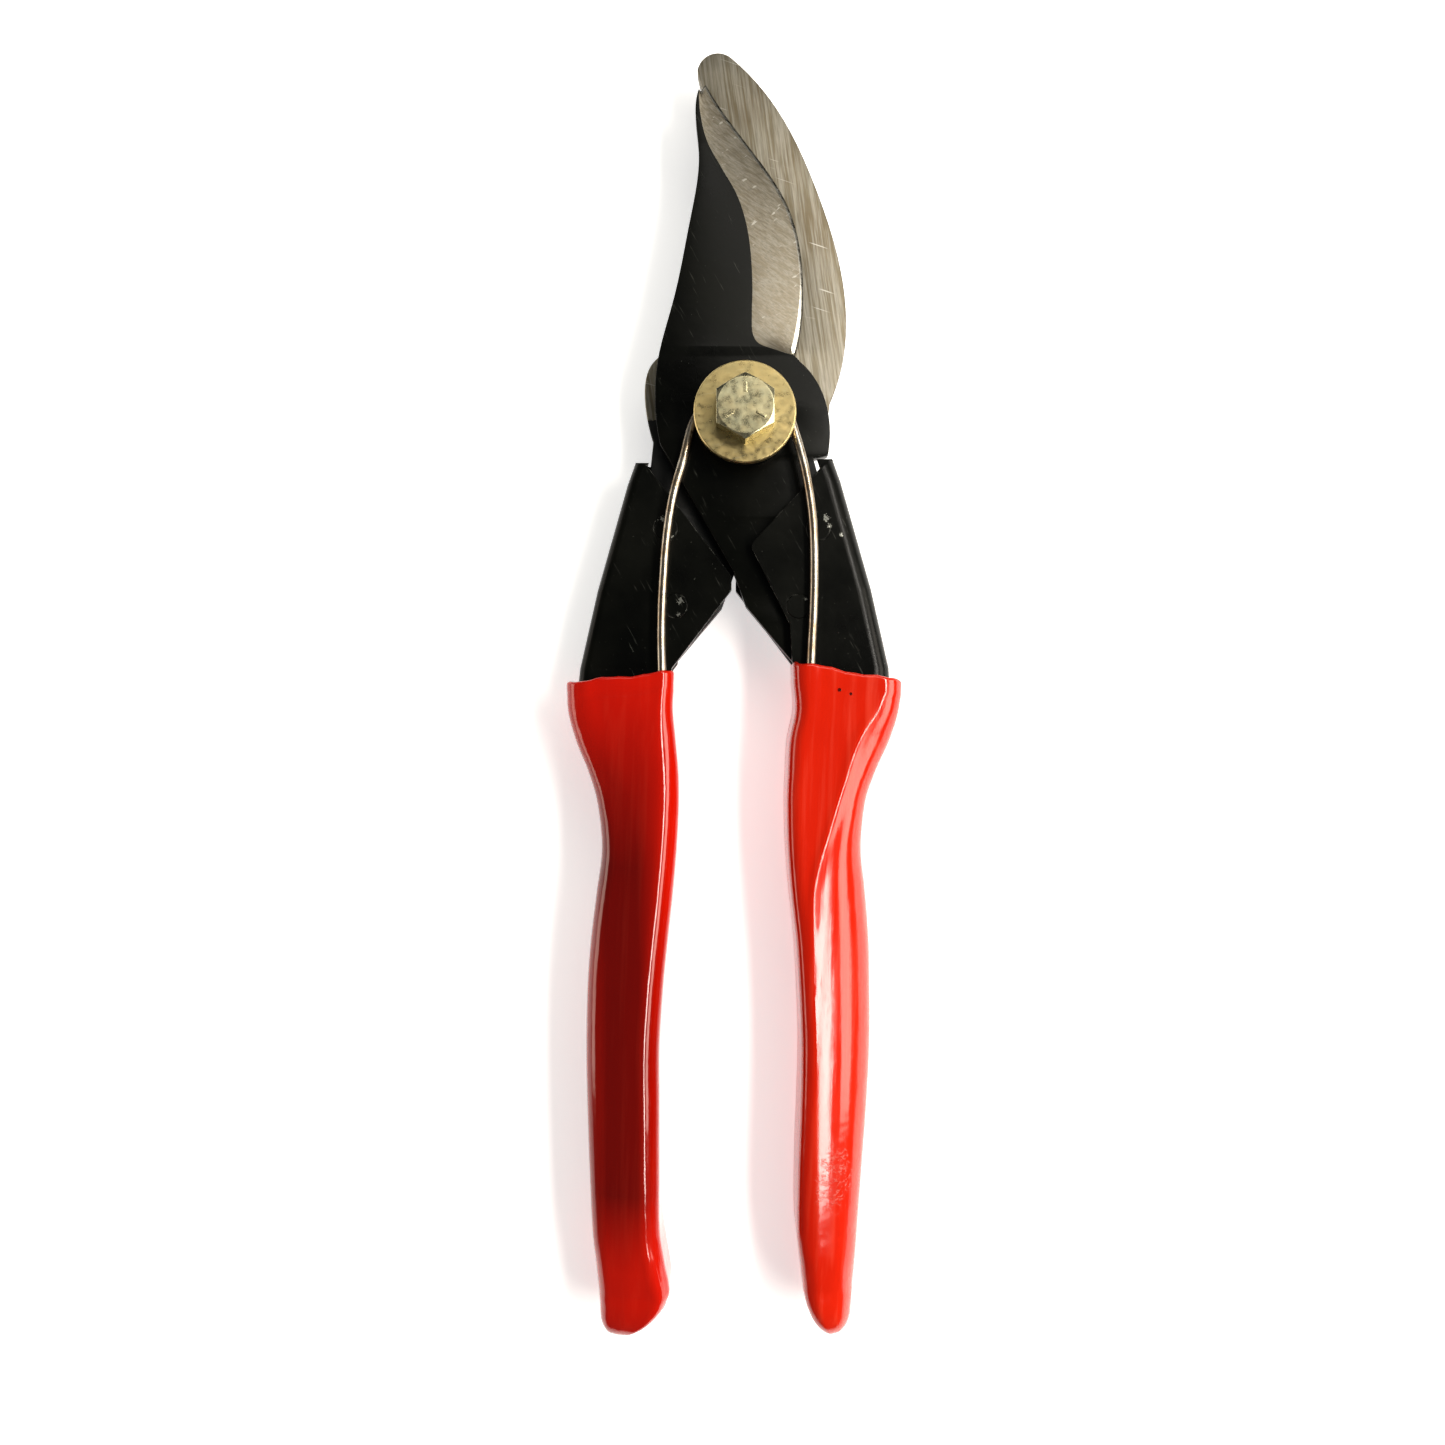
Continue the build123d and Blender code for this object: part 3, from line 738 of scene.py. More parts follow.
@dataclass
class CuttingBlade:
    """The sharp blade: enamelled plate with one broad ground bevel, a honed edge, and a thin
    dark band at the very edge that is painted shadow of the gap between the blades.
    """

    node: str = "cutting_blade"
    back: float = 9.15
    front: float = 12.15
    land: float = 0.35
    broken_edge: float = 0.14
    ground: tuple[Point, ...] = (
        (-8.35, 59.3), (-7.9, 55.0), (-6.7, 50.2), (-4.1, 45.4), (-1.5, 40.9), (0.2, 36.0),
        (1.1, 30.6), (1.45, 24.0), (1.35, 18.6), (1.5, 15.6), (2.5, 13.9), (5.6, 12.7),
        (9.2, 11.5),
    )
    full_width: float = 2.4
    hone: float = 0.25
    hone_heel: float = 0.95
    heel_share: Point = (0.72, 0.96)   # where along the edge the honed band widens
    belly: float = 0.22                # how far the ground face swells out
    belly_width: Point = (0.5, 3.0)    # from which widths it does
    most_honed: float = 0.3            # of the bevel's width
    # width of the dark band at the edge: painted shadow of the gap between the blades
    gap_shadow: float = 0.24
    rows: int = 5

    def nearest(self, loop: Loop, spot: Point) -> int:
        """The number of the loop's point that is nearest to a spot."""
        return min(range(len(loop)), key=lambda i: hypot(loop[i][0] - spot[0],
                                                         loop[i][1] - spot[1]))

    def build(self, *finishes: Material) -> None:
        """Build the blade.

        Args:
            *finishes: Those of the plate, the bevel, the honed band and the dark band of painted
                       gap shadow.
        """
        outer, *holes = face_loops(self.node, self.back)
        outer = resample(outer, OUTLINE_STEP)
        first = self.nearest(outer, self.ground[0])
        outer = outer[first:] + outer[:first]
        last = self.nearest(outer, self.ground[-1])
        # the outline runs anticlockwise from the tip, so the cutting edge is its last part
        edge_numbers = [0, *range(len(outer) - 1, last - 1, -1)]
        line = sample_curve([outer[0], *self.ground[1:-1], outer[last]], len(edge_numbers))
        depth = self.front - self.back - self.land
        tops = [self.front] * len(outer)
        for i, (x, y) in zip(edge_numbers, line):
            width = hypot(outer[i][0] - x, outer[i][1] - y)
            tops[i] = self.front - depth * share(width, 0.0, self.full_width)
        sketch = MeshSketch()
        plate = Plate(self.back, self.broken_edge)
        back_ring, front_ring = plate.sides(sketch, outer, tops)
        self.grind(sketch, [front_ring[i] for i in edge_numbers], line)
        inner = sketch.ring([(*p, self.front) for p in line[1:-1]])
        bores = [plate.sides(sketch, hole, [self.front] * len(hole)) for hole in holes]
        sketch.cap([*front_ring[last::-1], *inner], [bore[1] for bore in bores])
        sketch.cap(back_ring, [bore[0] for bore in bores])
        piece = sketch.build("pruner_cutting_blade", finishes, PLATE_SHARP)
        place_piece(piece, Body.CUTTING, "blade_steel", self.node)

    def grind(self, sketch: MeshSketch, edge: Sequence[int], line: Sequence[Point]) -> None:
        """Add the bevel between the line where grinding begins and the cutting edge.

        Args:
            sketch: The mesh under construction.
            edge: The numbers of the points along the cutting edge.
            line: Where the grinding begins, one point for each of those.
        """
        count = len(edge)
        rows = []
        for k, (number, start) in enumerate(zip(edge, line)):
            ex, ey, ez = sketch.points[number]
            width = max(hypot(ex - start[0], ey - start[1]), 1e-6)
            along = k / (count - 1)
            hone = self.hone + (self.hone_heel - self.hone) * share(along, *self.heel_share)
            stop = 1 - min((hone + self.gap_shadow) / width, self.most_honed)
            lift = self.belly * share(width, *self.belly_width)
            shares = [stop * r / self.rows for r in range(self.rows + 1)]
            rows.append([
                (start[0] + (ex - start[0]) * v, start[1] + (ey - start[1]) * v,
                 self.front + (ez + lift - self.front) * v / stop)
                for v in shares
            ])
        rings = [sketch.ring([row[r] for row in rows]) for r in range(self.rows + 1)]
        for a, b in zip(rings, rings[1:]):
            sketch.bridge(a, b, 1, closed=False)
        # the last band, out to the edge, is dark: painted shadow of the gap between the blades
        gap_shadow = sketch.ring([self.towards(sketch.points[a], sketch.points[b])
                            for a, b in zip(rings[-1], edge)])
        sketch.bridge(rings[-1], gap_shadow, 2, closed=False)
        sketch.bridge(gap_shadow, list(edge), 3, closed=False)

    def towards(self, hone: Sequence[float], edge: Sequence[float]) -> tuple[float, ...]:
        """The point where the honed band gives way to the painted gap shadow, on the way to the
        edge.
        """
        gap = max(hypot(edge[0] - hone[0], edge[1] - hone[1]), 1e-6)
        part = 1 - min(self.gap_shadow / gap, 0.5)
        return tuple(h + (e - h) * part for h, e in zip(hone, edge))


@dataclass
class CounterBlade:
    """The blunt hook: blanked plate, bare ground steel on the face that the blade slides on,
    enamelled elsewhere."""

    node: str = "counter_blade"
    back: float = 5.6
    front: float = 9.1
    broken_edge: float = 0.3

    def build(self, enamel: Material, bare: Material) -> None:
        """Build the hook.

        Args:
            enamel: The finish of the back.
            bare: The finish of the sliding face and the side walls, which shows its own enamel
                on the tang and the lower edges.
        """
        outer, *holes = face_loops(self.node, self.front)
        outer = resample(outer, OUTLINE_STEP)
        sketch = MeshSketch()
        plate = Plate(self.back, self.broken_edge)
        rings = [plate.sides(sketch, loop, [self.front] * len(loop))
                 for loop in (outer, *holes)]
        sketch.cap(rings[0][1], [ring[1] for ring in rings[1:]])
        sketch.cap(rings[0][0], [ring[0] for ring in rings[1:]], 1)
        piece = sketch.build("pruner_counter_blade", [bare, enamel], PLATE_SHARP)
        place_piece(piece, Body.COUNTER, "hook_steel", self.node)


@dataclass
class Grip:
    """A dipped vinyl sleeve round one steel handle, with a rolled lip and a domed end."""

    side: str
    body: Body
    edges: Rows
    rounds: Rows
    depths: Rows
    lip: Point
    dome_from: float
    dome_to: float
    dome_rows: Rows
    crease: Rows = ()
    crease_height: float = 0.0
    crease_bend: float = 1.0
    crease_w: float = 0.9
    crease_in: Point = (49.0, 56.0)
    crease_out: Point = (84.0, 100.0)
    crease_left: float = 0.35          # of its height that runs on to the end
    wire_x: float = 0.0
    wire_height: float = 0.25
    wire_w: float = 1.15
    dish: float = 0.25
    tilt: float = 0.0
    lip_r: float = 0.55
    lip_run: float = 3.0
    bead: float = 0.12
    slant_run: float = 22.0
    stations: int = 150
    corner_points: int = 16
    side_points: int = 12
    lip_points: int = 8
    dome_rings: int = 16

    def section(self, t: float, swell: float = 0.0) -> Loop:
        """The sleeve's outline at t, as (x, z).

        Args:
            t: Distance from the pivot.
            swell: How far the outline stands out from the sleeve's plain surface.

        Returns:
            The outline's points, in the same order at every t.
        """
        at = min(t, self.dome_from)
        near, far = self.edge_at(at)
        back, front = self.depth_at(at)
        inner_r, back_r, outer_rx, outer_rz = self.round_at(at)
        way = 1 if far > near else -1
        width, depth = abs(far - near), front - back
        # no corner may take so much of a side that the next has no room
        inner_rz = min(inner_r, 0.485 * depth)
        back_rx, back_rz = min(back_r, 0.6 * width), min(back_r, 0.485 * depth)
        outer_rz = min(outer_rz, 0.7 * depth, 0.97 * depth - back_rz)
        # each corner's place, the way to its middle, its radii, its first angle and its bend
        corners = (
            (near, back, way, 1, min(inner_r, 0.485 * width, width - back_rx), inner_rz, 180, 1),
            (far, back, -way, 1, back_rx, back_rz, 270, 1),
            (far, front, -way, -1, min(outer_rx, 0.86 * width), outer_rz, 0, self.crease_bend),
            (near, front, way, -1, min(inner_r, 0.3 * width), inner_rz, 90, 1),
        )
        arcs = []
        for cx, cz, sx, sz, rx, rz, turn, bend in corners:
            arc = []
            for i in range(self.corner_points + 1):
                a = radians(turn + 90 * i / self.corner_points)
                side = abs(cos(a)) ** bend * (1 if cos(a) > 0 else -1)
                arc.append((cx + sx * rx + way * (rx + swell) * side,
                            cz + sz * rz + (rz + swell) * sin(a)))
            arcs.append(arc)
        outline: Loop = []
        steps = [i / self.side_points for i in range(1, self.side_points)]
        for arc, after in zip(arcs, arcs[1:] + arcs[:1]):
            (ax, az), (bx, bz) = arc[-1], after[0]
            outline += arc + [(ax + (bx - ax) * k, az + (bz - az) * k) for k in steps]
        return [self.relief(t, x, z, near, far, back, front) for x, z in outline]

    def relief(self, t: float, x: float, z: float, near: float, far: float, back: float,
               front: float) -> Point:
        """Move a point of the plain sleeve for its dish, crease and wire ridge."""
        facing = share(z, front - 1.6, front)
        across = abs(x - near) / max(abs(far - near), 1e-6)
        inside = share(t, self.lip[0] + 10, self.lip[0] + 26)
        z -= self.dish * facing * inside * 4 * across * (1 - across)
        z += self.tilt * facing * inside * (0.5 - across)
        if self.crease:
            line = self.crease_at(t)[0]
            fade = share(t, *self.crease_in)
            fade *= 1 - (1 - self.crease_left) * share(t, *self.crease_out)
            z += self.crease_height * bump(x, line, self.crease_w) * facing * fade
        ridge = 1 - share(t, self.lip[0] + 2, self.lip[0] + 15)
        z += self.wire_height * bump(x, self.wire_x, self.wire_w) * facing * ridge
        return x, z

    def mouth_t(self, x: float, z: float, near: float, far: float) -> float:
        """Where the mouth's wavy rim lies at a point of the outline."""
        across = (x - near) / (far - near)
        wave = 0.2 * sin(0.6 * x + 0.9 * z) + 0.08 * sin(1.7 * x - 0.6 * z + 1)
        return self.lip[0] + (self.lip[1] - self.lip[0]) * min(max(across, 0), 1) + wave

    def build(self, vinyl: Material) -> None:
        """Build the sleeve in its vinyl."""
        self.edge_at = smooth_table(self.edges)
        self.depth_at = smooth_table(self.depths)
        self.round_at = smooth_table(self.rounds)
        self.crease_at = smooth_table(self.crease) if self.crease else None
        sketch = MeshSketch()
        begin = self.lip[0]
        near, far = self.edge_at(begin)
        rims = [self.mouth_t(x, z, near, far) - begin for x, z in self.section(begin)]
        rings = [self.slanted_ring(sketch, begin, rims, run, swell)
                 for run, swell in self.rim()]
        first = begin + self.lip_run + self.lip_r
        for i in range(self.stations + 1):
            t = first + (self.dome_from - first) * i / self.stations
            slant = 1 - share(t, first, first + self.slant_run)
            rings.append(self.slanted_ring(sketch, t, [rim * slant for rim in rims]))
        rings += self.dome(sketch)
        for a, b in zip(rings, rings[1:]):
            sketch.bridge(a, b)
        self.fan(sketch, rings[0])
        self.fan(sketch, rings[-1])
        piece = sketch.build(f"pruner_{self.side}_grip", [vinyl], SOFT_SHARP)
        place_piece(piece, self.body, "red_vinyl", f"{self.side}_grip")

    def slanted_ring(self, sketch: MeshSketch, t: float, rims: Sequence[float],
                     run: float = 0.0, swell: float = 0.0) -> list[int]:
        """Add a ring whose points lie further along the sleeve by their own amounts.

        Args:
            sketch: The mesh under construction.
            t: The ring's distance from the pivot.
            rims: How much further along each point is.
            run: How much further along all of them are, with the outline of t.
            swell: How far the ring stands out from the plain surface.

        Returns:
            The numbers of the ring's points.
        """
        if max(map(abs, rims)) < 1e-6:
            return sketch.ring([(x, -t - run, z) for x, z in self.section(t, swell)])
        ring = []
        for i, rim in enumerate(rims):
            x, z = self.section(t + max(rim, 0), swell)[i]
            ring.append((x, -(t + rim + run), z))
        return sketch.ring(ring)

    def rim(self) -> Loop:
        """The rolled lip's profile from inside the mouth, as (run past the rim, swell)."""
        inner = [(2.0, -1.55), (1.0, -1.5)]
        roll = []
        for i in range(self.lip_points + 1):
            a = radians(180 - 180 * i / self.lip_points)
            roll.append((self.lip_r * (1 - sin(a)), self.lip_r * (cos(a) - 1) + self.bead))
        tail = [(self.lip_r + self.lip_run * s, self.bead * (1 - share(s, 0, 1)))
                for s in (0.25, 0.5, 0.75)]
        return inner + roll + tail

    def dome(self, sketch: MeshSketch) -> list[list[int]]:
        """Add the closed end's rings and return them."""
        outline = self.section(self.dome_from)
        near, far = self.edge_at(self.dome_from)
        back, front = self.depth_at(self.dome_from)
        middle = (back + front) / 2
        end_at = smooth_table(self.dome_rows)
        rings = []
        for i in range(1, self.dome_rings + 1):
            turn = 89.0 * i / self.dome_rings
            now_near, now_far = end_at(turn)
            size = cos(radians(turn)) ** 0.75
            t = self.dome_from + (self.dome_to - self.dome_from) * sin(radians(turn))
            rings.append(sketch.ring([
                (now_near + (x - near) * (now_far - now_near) / (far - near), -t,
                 middle + (z - middle) * size)
                for x, z in outline
            ]))
        return rings

    def fan(self, sketch: MeshSketch, ring: Sequence[int]) -> None:
        """Close a ring with triangles about its middle."""
        places = [sketch.points[i] for i in ring]
        middle = tuple(sum(p[c] for p in places) / len(places) for c in range(3))
        hub = sketch.ring([middle])[0]
        for i, number in enumerate(ring):
            sketch.face((number, ring[(i + 1) % len(ring)], hub))


def grips() -> list[Grip]:
    """The two grips: one dip, on two handles that are each other's mirror."""
    cutting = Grip(
        side="cutting",
        body=Body.CUTTING,
        edges=(
            (43.3, 8.7, 27.4), (46.6, 8.6, 27.95), (52.1, 9.0, 27.7), (57.6, 8.0, 26.2),
            (63.1, 7.7, 23.8), (68.6, 7.5, 22.0), (76.9, 7.7, 21.3), (85.1, 8.3, 22.2),
            (93.4, 9.2, 22.9), (101.6, 9.7, 23.1), (112.6, 10.1, 23.1), (123.6, 9.9, 22.5),
            (134.6, 9.5, 21.6), (145.6, 9.4, 20.7), (151.1, 10.0, 20.3), (157.0, 10.6, 19.8),
        ),
        rounds=(
            (43.3, 2.2, 2.6, 3.2, 3.2), (52, 2.4, 2.8, 4.2, 4.0), (57.5, 2.6, 3.0, 6.0, 5.2),
            (65, 2.6, 3.0, 6.4, 5.6), (73, 2.6, 3.0, 6.8, 6.2), (81, 2.6, 3.2, 9.0, 7.6),
            (87, 2.6, 3.4, 10.2, 8.4), (100, 2.6, 3.4, 10.8, 8.8), (120, 2.6, 3.4, 10.0, 8.6),
            (150, 2.6, 3.2, 7.4, 7.0), (157, 2.6, 3.0, 6.4, 6.4),
        ),
        depths=(
            (43.3, 4.8, 17.0), (50, 3.6, 16.9), (57, 1.4, 16.7), (64, 0.5, 16.6),
            (100, 0.45, 16.6), (148, 0.5, 16.5), (157, 2.0, 15.2),
        ),
        lip=(43.6, 47.0),
        dome_from=156.0,
        dome_to=165.4,
        dome_rows=((0, 10.5, 19.9), (18.6, 11.2, 19.7), (40.5, 12.5, 19.4), (58, 13.9, 18.7),
                   (73, 15.0, 17.8), (90, 16.4, 16.5)),
        crease=((43, 25.4), (50.5, 23.6), (57.5, 19.9), (65.4, 17.6), (73.3, 15.0),
                (81.3, 12.6), (86.5, 11.9), (120, 12.3), (157, 12.8)),
        crease_height=0.3,
        crease_bend=1.25,
        wire_x=11.6,
    )
    counter = Grip(
        side="counter",
        body=Body.COUNTER,
        edges=(
            (44.5, -12.8, -31.6), (46.6, -12.6, -31.85), (52.1, -12.8, -31.7),
            (57.6, -12.3, -30.2), (63.1, -11.8, -28.0), (68.6, -11.7, -26.4),
            (76.9, -12.1, -25.6), (85.1, -12.8, -26.6), (93.4, -13.7, -27.6),
            (101.6, -14.5, -28.2), (112.6, -15.2, -28.4), (123.6, -15.2, -28.2),
            (134.6, -15.2, -27.8), (145.6, -15.1, -27.3), (151.1, -14.3, -26.7),
            (156.6, -13.4, -26.3), (159.4, -13.9, -26.1),
        ),
        rounds=(
            (44.5, 2.2, 3.4, 4.0, 3.0), (57.5, 3.4, 5.4, 6.5, 3.4), (73, 3.8, 6.4, 8.0, 4.0),
            (87, 3.9, 8.2, 8.6, 4.4), (120, 3.9, 8.4, 8.6, 4.4), (150, 3.4, 7.4, 7.6, 4.2),
            (159.4, 2.8, 5.4, 6.0, 4.4),
        ),
        depths=(
            (44.5, 2.4, 14.9), (50, 1.8, 15.4), (57, 1.0, 16.3), (64, 0.5, 16.6),
            (100, 0.45, 16.6), (148, 0.5, 16.5), (159.4, 2.4, 14.8),
        ),
        lip=(45.2, 47.2),
        dish=0.1,
        tilt=1.5,
        dome_from=157.0,
        dome_to=165.5,
        dome_rows=((0, -13.5, -26.3), (15.7, -14.3, -26.1), (36.9, -16.6, -26.0),
                   (57.9, -19.5, -25.3), (75, -21.4, -24.4), (90, -22.8, -22.9)),
        wire_x=-14.6,
    )
    return [cutting, counter]


@dataclass
class ReturnSpring:
    """The torsion spring: one coil round the pivot, with a leg into each grip."""

    wire_d: float = 1.6
    coil_r: float = 7.6
    low: float = 13.1
    high: float = 15.477
    coil_from: float = 146.5
    coil_to: float = -342.5
    coil_points: int = 120
    leg_points: int = 60
    wire_sides: int = 20
    counter_leg: tuple[Point, ...] = (
        (-9.3, -1.0), (-11.1, -7.8), (-12.5, -12.5), (-13.4, -17.0), (-14.1, -22.4),
        (-14.5, -27.9), (-14.8, -33.3), (-14.9, -38.8), (-14.8, -45.0), (-14.7, -50.0),
    )
    cutting_leg: tuple[Point, ...] = (
        (8.6, -2.0), (10.4, -8.3), (11.5, -14.0), (12.1, -19.1), (12.3, -24.5),
        (12.3, -29.9), (12.15, -35.3), (11.85, -41.0), (11.5, -50.0),
    )

    def path(self) -> list[Place]:
        """The wire's centre line from one leg's end, round the coil, to the other's."""
        coil = []
        for i in range(self.coil_points + 1):
            a = radians(self.coil_from + (self.coil_to - self.coil_from) * i / self.coil_points)
            z = self.low + (self.high - self.low) * i / self.coil_points
            coil.append((self.coil_r * cos(a), self.coil_r * sin(a), z))
        left = [(x, y, self.low) for x, y in reversed(self.counter_leg)]
        right = [(x, y, self.high) for x, y in self.cutting_leg]
        start = sample_curve([*left, coil[0]], self.leg_points)[:-1]
        end = sample_curve([coil[-1], *right], self.leg_points)[1:]
        return [*start, *coil, *end]

    def build(self, steel: Material) -> None:
        """Sweep the wire along its path with Geometry Nodes."""
        curve = bpy.data.curves.new("spring_path", "CURVE")
        curve.dimensions = "3D"
        points = self.path()
        spline = curve.splines.new("POLY")
        spline.points.add(len(points) - 1)
        for point, place in zip(spline.points, points):
            point.co = (*(c * MM for c in place), 1)
        carrier = bpy.data.objects.new("spring_carrier", curve)
        tree, given = start_tree("sweep_wire", Radius="Float")
        section = add_node(tree, "GeometryNodeCurvePrimitiveCircle",
                           {"Resolution": self.wire_sides, "Radius": given["Radius"]})
        swept = add_node(tree, "GeometryNodeCurveToMesh",
                         {"Curve": given["Geometry"],
                          "Profile Curve": section.outputs["Curve"], "Fill Caps": True})
        end_tree(tree, swept.outputs["Mesh"], steel)
        piece = run_tree(carrier, tree, {"Radius": self.wire_d / 2 * MM},
                         "pruner_return_spring")
        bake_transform(piece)
        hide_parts("return_spring")
        LOG.info("%s: %d faces, bends between the sides", piece.name,
                 len(piece.data.polygons))


# --- geometry node trees ---


def start_tree(name: str, **inputs: str) -> tuple[NodeTree, dict[str, NodeSocket]]:
    """Start a geometry tree with a Geometry input and some named ones.

    Args:
        name: The tree's name.
        **inputs: Each named input's kind, such as Float.

    Returns:
        The tree, and what its inputs give by their names.
    """
    tree = bpy.data.node_groups.new(name, "GeometryNodeTree")
    tree.interface.new_socket("Geometry", in_out="INPUT", socket_type="NodeSocketGeometry")
    for label, kind in inputs.items():
        tree.interface.new_socket(label, in_out="INPUT", socket_type="NodeSocket" + kind)
    tree.interface.new_socket("Geometry", in_out="OUTPUT", socket_type="NodeSocketGeometry")
    return tree, dict(add_node(tree, "NodeGroupInput").outputs.items())


def end_tree(tree: NodeTree, geometry: NodeSocket, material: Material) -> None:
    """Finish a tree: smooth faces, real instances, and the material."""
    smooth = add_node(tree, "GeometryNodeSetShadeSmooth", {"Geometry": geometry})
    real = add_node(tree, "GeometryNodeRealizeInstances", {"Geometry": smooth.outputs[0]})
    dressed = add_node(tree, "GeometryNodeSetMaterial",
                       {"Geometry": real.outputs[0], "Material": material})
    add_node(tree, "NodeGroupOutput", {"Geometry": dressed.outputs[0]})


def run_tree(carrier: Object, tree: NodeTree, values: dict[str, Any],
             name: str) -> Object:
    """Evaluate a tree on its carrier and keep the result as a plain mesh.

    Args:
        carrier: The object whose geometry goes in.
        tree: The geometry tree.
        values: Values for its named inputs.
        name: The finished piece's name.

    Returns:
        The finished piece, at the origin.
    """
    bpy.context.scene.collection.objects.link(carrier)
    modifier = carrier.modifiers.new(tree.name, "NODES")
    modifier.node_group = tree
    for item in tree.interface.items_tree:
        if item.item_type == "SOCKET" and item.in_out == "INPUT" and item.name in values:
            modifier[item.identifier] = values[item.name]
    ready = carrier.evaluated_get(bpy.context.evaluated_depsgraph_get())
    mesh = bpy.data.meshes.new_from_object(ready)
    carrier.modifiers.remove(modifier)
    bpy.data.objects.remove(carrier)
    return make_piece(name, mesh, SWEPT_SHARP)


@dataclass
class ThumbRibs:
    """Pressed ribs across the catch's thumb pad, so that a thumb doesn't slip on it."""

    pivot: Point = (-3.5, -17.0)
    reach: float = 17.0
    turn: float = 222.0
    pad_face: float = 0.5
    count: int = 4
    spacing: float = 1.5
    length: float = 4.2
    radius: float = 0.28

    def build(self, plating: Material) -> None:
        """Set the ribs out along the lever's arm with Geometry Nodes."""
        tree, given = start_tree("set_out_ribs", Count="Int", Spacing="Vector",
                                 Length="Float", Radius="Float", Turn="Vector")
        rib = add_node(tree, "GeometryNodeMeshCylinder",
                       {"Vertices": 16, "Radius": given["Radius"], "Depth": given["Length"]})
        line = add_node(tree, "GeometryNodeMeshLine",
                        {"Count": given["Count"], "Offset": given["Spacing"]}, mode="OFFSET")
        placed = add_node(tree, "GeometryNodeInstanceOnPoints",
                          {"Points": line.outputs[0], "Instance": rib.outputs["Mesh"],
                           "Rotation": given["Turn"]})
        end_tree(tree, placed.outputs[0], plating)
        a = radians(self.turn)
        way = Vector((cos(a), sin(a), 0))
        carrier = bpy.data.objects.new("rib_carrier", bpy.data.meshes.new("rib_carrier"))
        piece = run_tree(
            carrier, tree,
            {"Count": self.count, "Spacing": way * self.spacing * MM,
             "Length": self.length * MM, "Radius": self.radius * MM,
             "Turn": (pi / 2, 0, a)},
            "pruner_thumb_ribs",
        )
        begin = Vector((*self.pivot, self.pad_face)) + way * (
            self.reach - self.spacing * (self.count - 1) / 2
        )
        piece.data.transform(Matrix.Translation(begin * MM))
        place_piece(piece, Body.CATCH, "catch_plating")


# --- stage ---


@dataclass
class Studio:
    """Camera, floor and soft lights."""

    camera_at: Place = (-3.93, -54.42, 212.1)
    lens: float = 27.68
    floor_size: float = 3000.0
    floor_z: float = -0.4

    def build(self) -> None:
        """Set up the whole stage."""
        view = bpy.context.scene.view_settings
        view.view_transform, view.look = "Standard", "Medium High Contrast"
        self.camera()
        self.floor()
        self.world()
        self.light("window", (500, -90, 270), (0, -90, 0), (480, 240), 1.7, "FFF6EA")
        self.light("strip", (215, -90, 350), (0, -95, 0), (460, 60), 1.3, "FFF9F2")
        self.light("fill", (-600, -40, 120), (0, -80, 0), (560, 180), 0.8, "FFF2E4")
        self.light("ceiling", (110, 190, 330), (10, 40, 0), (440, 200), 0.55, "FFFBF2")

    def camera(self) -> None:
        """Add the camera, looking straight down with +Y up."""
        data = bpy.data.cameras.new("camera")
        data.lens, data.sensor_width = self.lens, 36.0
        data.clip_start, data.clip_end = 0.005, 20
        camera = bpy.data.objects.new("camera", data)
        camera.location = [c * MM for c in self.camera_at]
        bpy.context.scene.collection.objects.link(camera)
        bpy.context.scene.camera = camera

    def floor(self) -> None:
        """Add the pale floor just under the tool."""
        s = Surface("pale_backdrop_paper")
        s.set(Base_Color=linear("F4F4F2"), Roughness=0.85,
              Emission_Color=(1, 1, 1, 1), Emission_Strength=0.5)
        half = self.floor_size / 2
        sketch = MeshSketch()
        ways = ((-1, -1), (1, -1), (1, 1), (-1, 1))
        sketch.face(sketch.ring([(x * half, y * half, self.floor_z) for x, y in ways]))
        sketch.build("floor", [s.material])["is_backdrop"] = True

    def world(self) -> None:
        """Light everything a little from all round."""
        world = bpy.data.worlds.new("studio")
        bpy.context.scene.world = world
        world.use_nodes = True
        back = world.node_tree.nodes["Background"]
        back.inputs[0].default_value = linear("E8ECF0")
        back.inputs[1].default_value = 0.1

    def light(self, name: str, at: Sequence[float], aim: Sequence[float],
              size: Point, power: float, colour: str) -> None:
        """Add one soft rectangular light.

        Args:
            name: The light's name.
            at: Its place, in millimetres.
            aim: The point that it faces.
            size: Its level width and its height, in millimetres.
            power: Its power in watts.
            colour: Its colour as hex.
        """
        data = bpy.data.lights.new(name, "AREA")
        data.shape = "RECTANGLE"
        data.size, data.size_y = size[0] * MM, size[1] * MM
        data.energy = power
        data.color = linear(colour)[:3]
        lamp = bpy.data.objects.new(name, data)
        lamp.location = [c * MM for c in at]
        way = Vector(aim) - Vector(at)
        lamp.rotation_euler = way.to_track_quat("-Z", "Y").to_euler()
        bpy.context.scene.collection.objects.link(lamp)


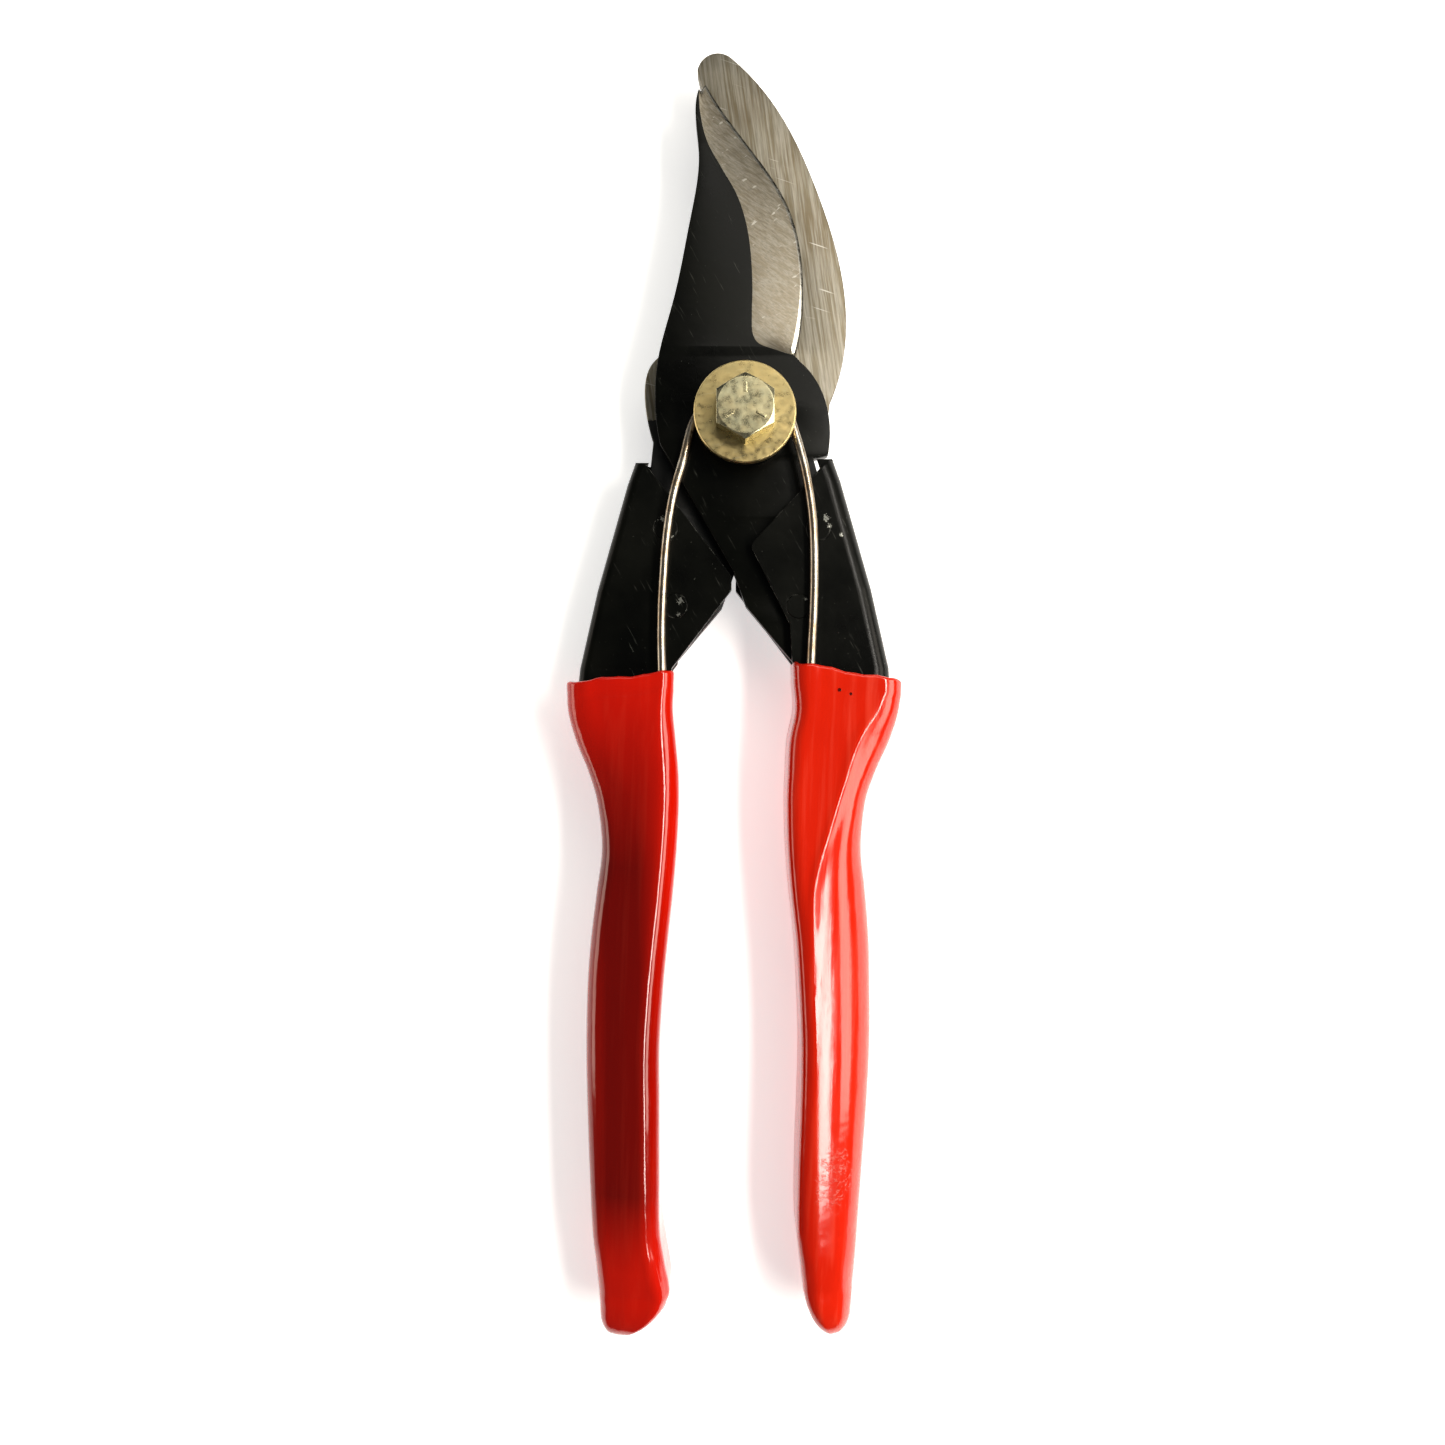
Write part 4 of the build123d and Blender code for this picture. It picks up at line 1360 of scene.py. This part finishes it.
def main() -> None:
    """Build every piece in order, from the blades to the stage."""
    logging.basicConfig(level=logging.INFO, format="%(name)s: %(message)s")
    cad_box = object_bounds()
    enamel = Enamel(chips=((-14.9, -17.6, 0.45), (-13.2, -20.9, 0.35), (-11.6, -32.4, 0.5),
                           (-11.9, -34.9, 0.3), (14.6, -18.0, 0.5), (15.1, -19.4, 0.35),
                           (17.2, -21.0, 0.3), (10.9, -32.4, 0.3))).surface()
    blade_enamel = Enamel("black_stoving_enamel_blade").surface()
    bevel = GroundSteel("belt_ground_steel_bevel", 62, "938C7D", "80735E", 0.35, 0.62).surface()
    honed = GroundSteel("honed_steel_edge", 62, "DCDAD0", "B0A890", 0.2, 0.3).surface()
    # dark steel for the blade's very edge: painted shadow of the gap between the blades
    gap_shadow = GroundSteel("painted_gap_shadow_steel", 62, "38342C", "1E1A14", 0.5, 0.6).surface()
    hook = GroundSteel("ground_steel_hook", 8, "7A7363", "64563F", 0.55, 0.5, 1.0).surface()
    zinc = ZincPlate().surface()
    head_zinc = ZincPlate("yellow_chromate_zinc_head", "D6CAA2", "C3C4A8", 0.26).surface()
    plating = ZincPlate("bright_zinc_catch", "AEB1B0", "C3C2B4", 0.34).surface()
    wire = DrawnWire().surface()
    vinyl = {
        "cutting": DippedVinyl(
            "dipped_red_pvc_cutting", "D62A08", "B01603", streak=0.6,
            pinholes=((16.6, -48.7, 0.35), (18.6, -49.4, 0.28)),
            scuffs=((15.9, -135.2, 3.4),),
        ).surface(),
        # the counter grip is the same dip given a darker red, painted shade for the grip away
        # from the window, with a band of painted shade down its middle and weaker pale streaks
        # of painted sheen
        "counter": DippedVinyl(
            "dipped_red_pvc_counter_painted_shade", "CC1D05", "A41003", streak=0.15,
            core=(-21.6, 9.5, -46.0, -152.0),
        ).surface(),
    }
    CuttingBlade().build(blade_enamel, bevel, honed, gap_shadow)
    CounterBlade().build(blade_enamel, hook)
    for grip in grips():
        grip.build(vinyl[grip.side])
    ReturnSpring().build(wire)
    ThumbRibs().build(plating)
    for side in ("cutting", "counter"):
        for name in (f"{side}_handle", f"{side}_rivet_upper", f"{side}_rivet_lower"):
            dress_node(name, enamel)
    dress_node("pivot_bolt", head_zinc)
    for name in ("front_washer", "rear_washer", "pivot_nut", "coil_spacer"):
        dress_node(name, zinc)
    for name in ("catch_lever", "catch_rivet", "catch_spacer", "keeper_pin"):
        dress_node(name, plating)
    Studio().build()
    [[list(corner) for corner in box] for box in (cad_box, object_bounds())]


if __name__ == "__main__":
    main()
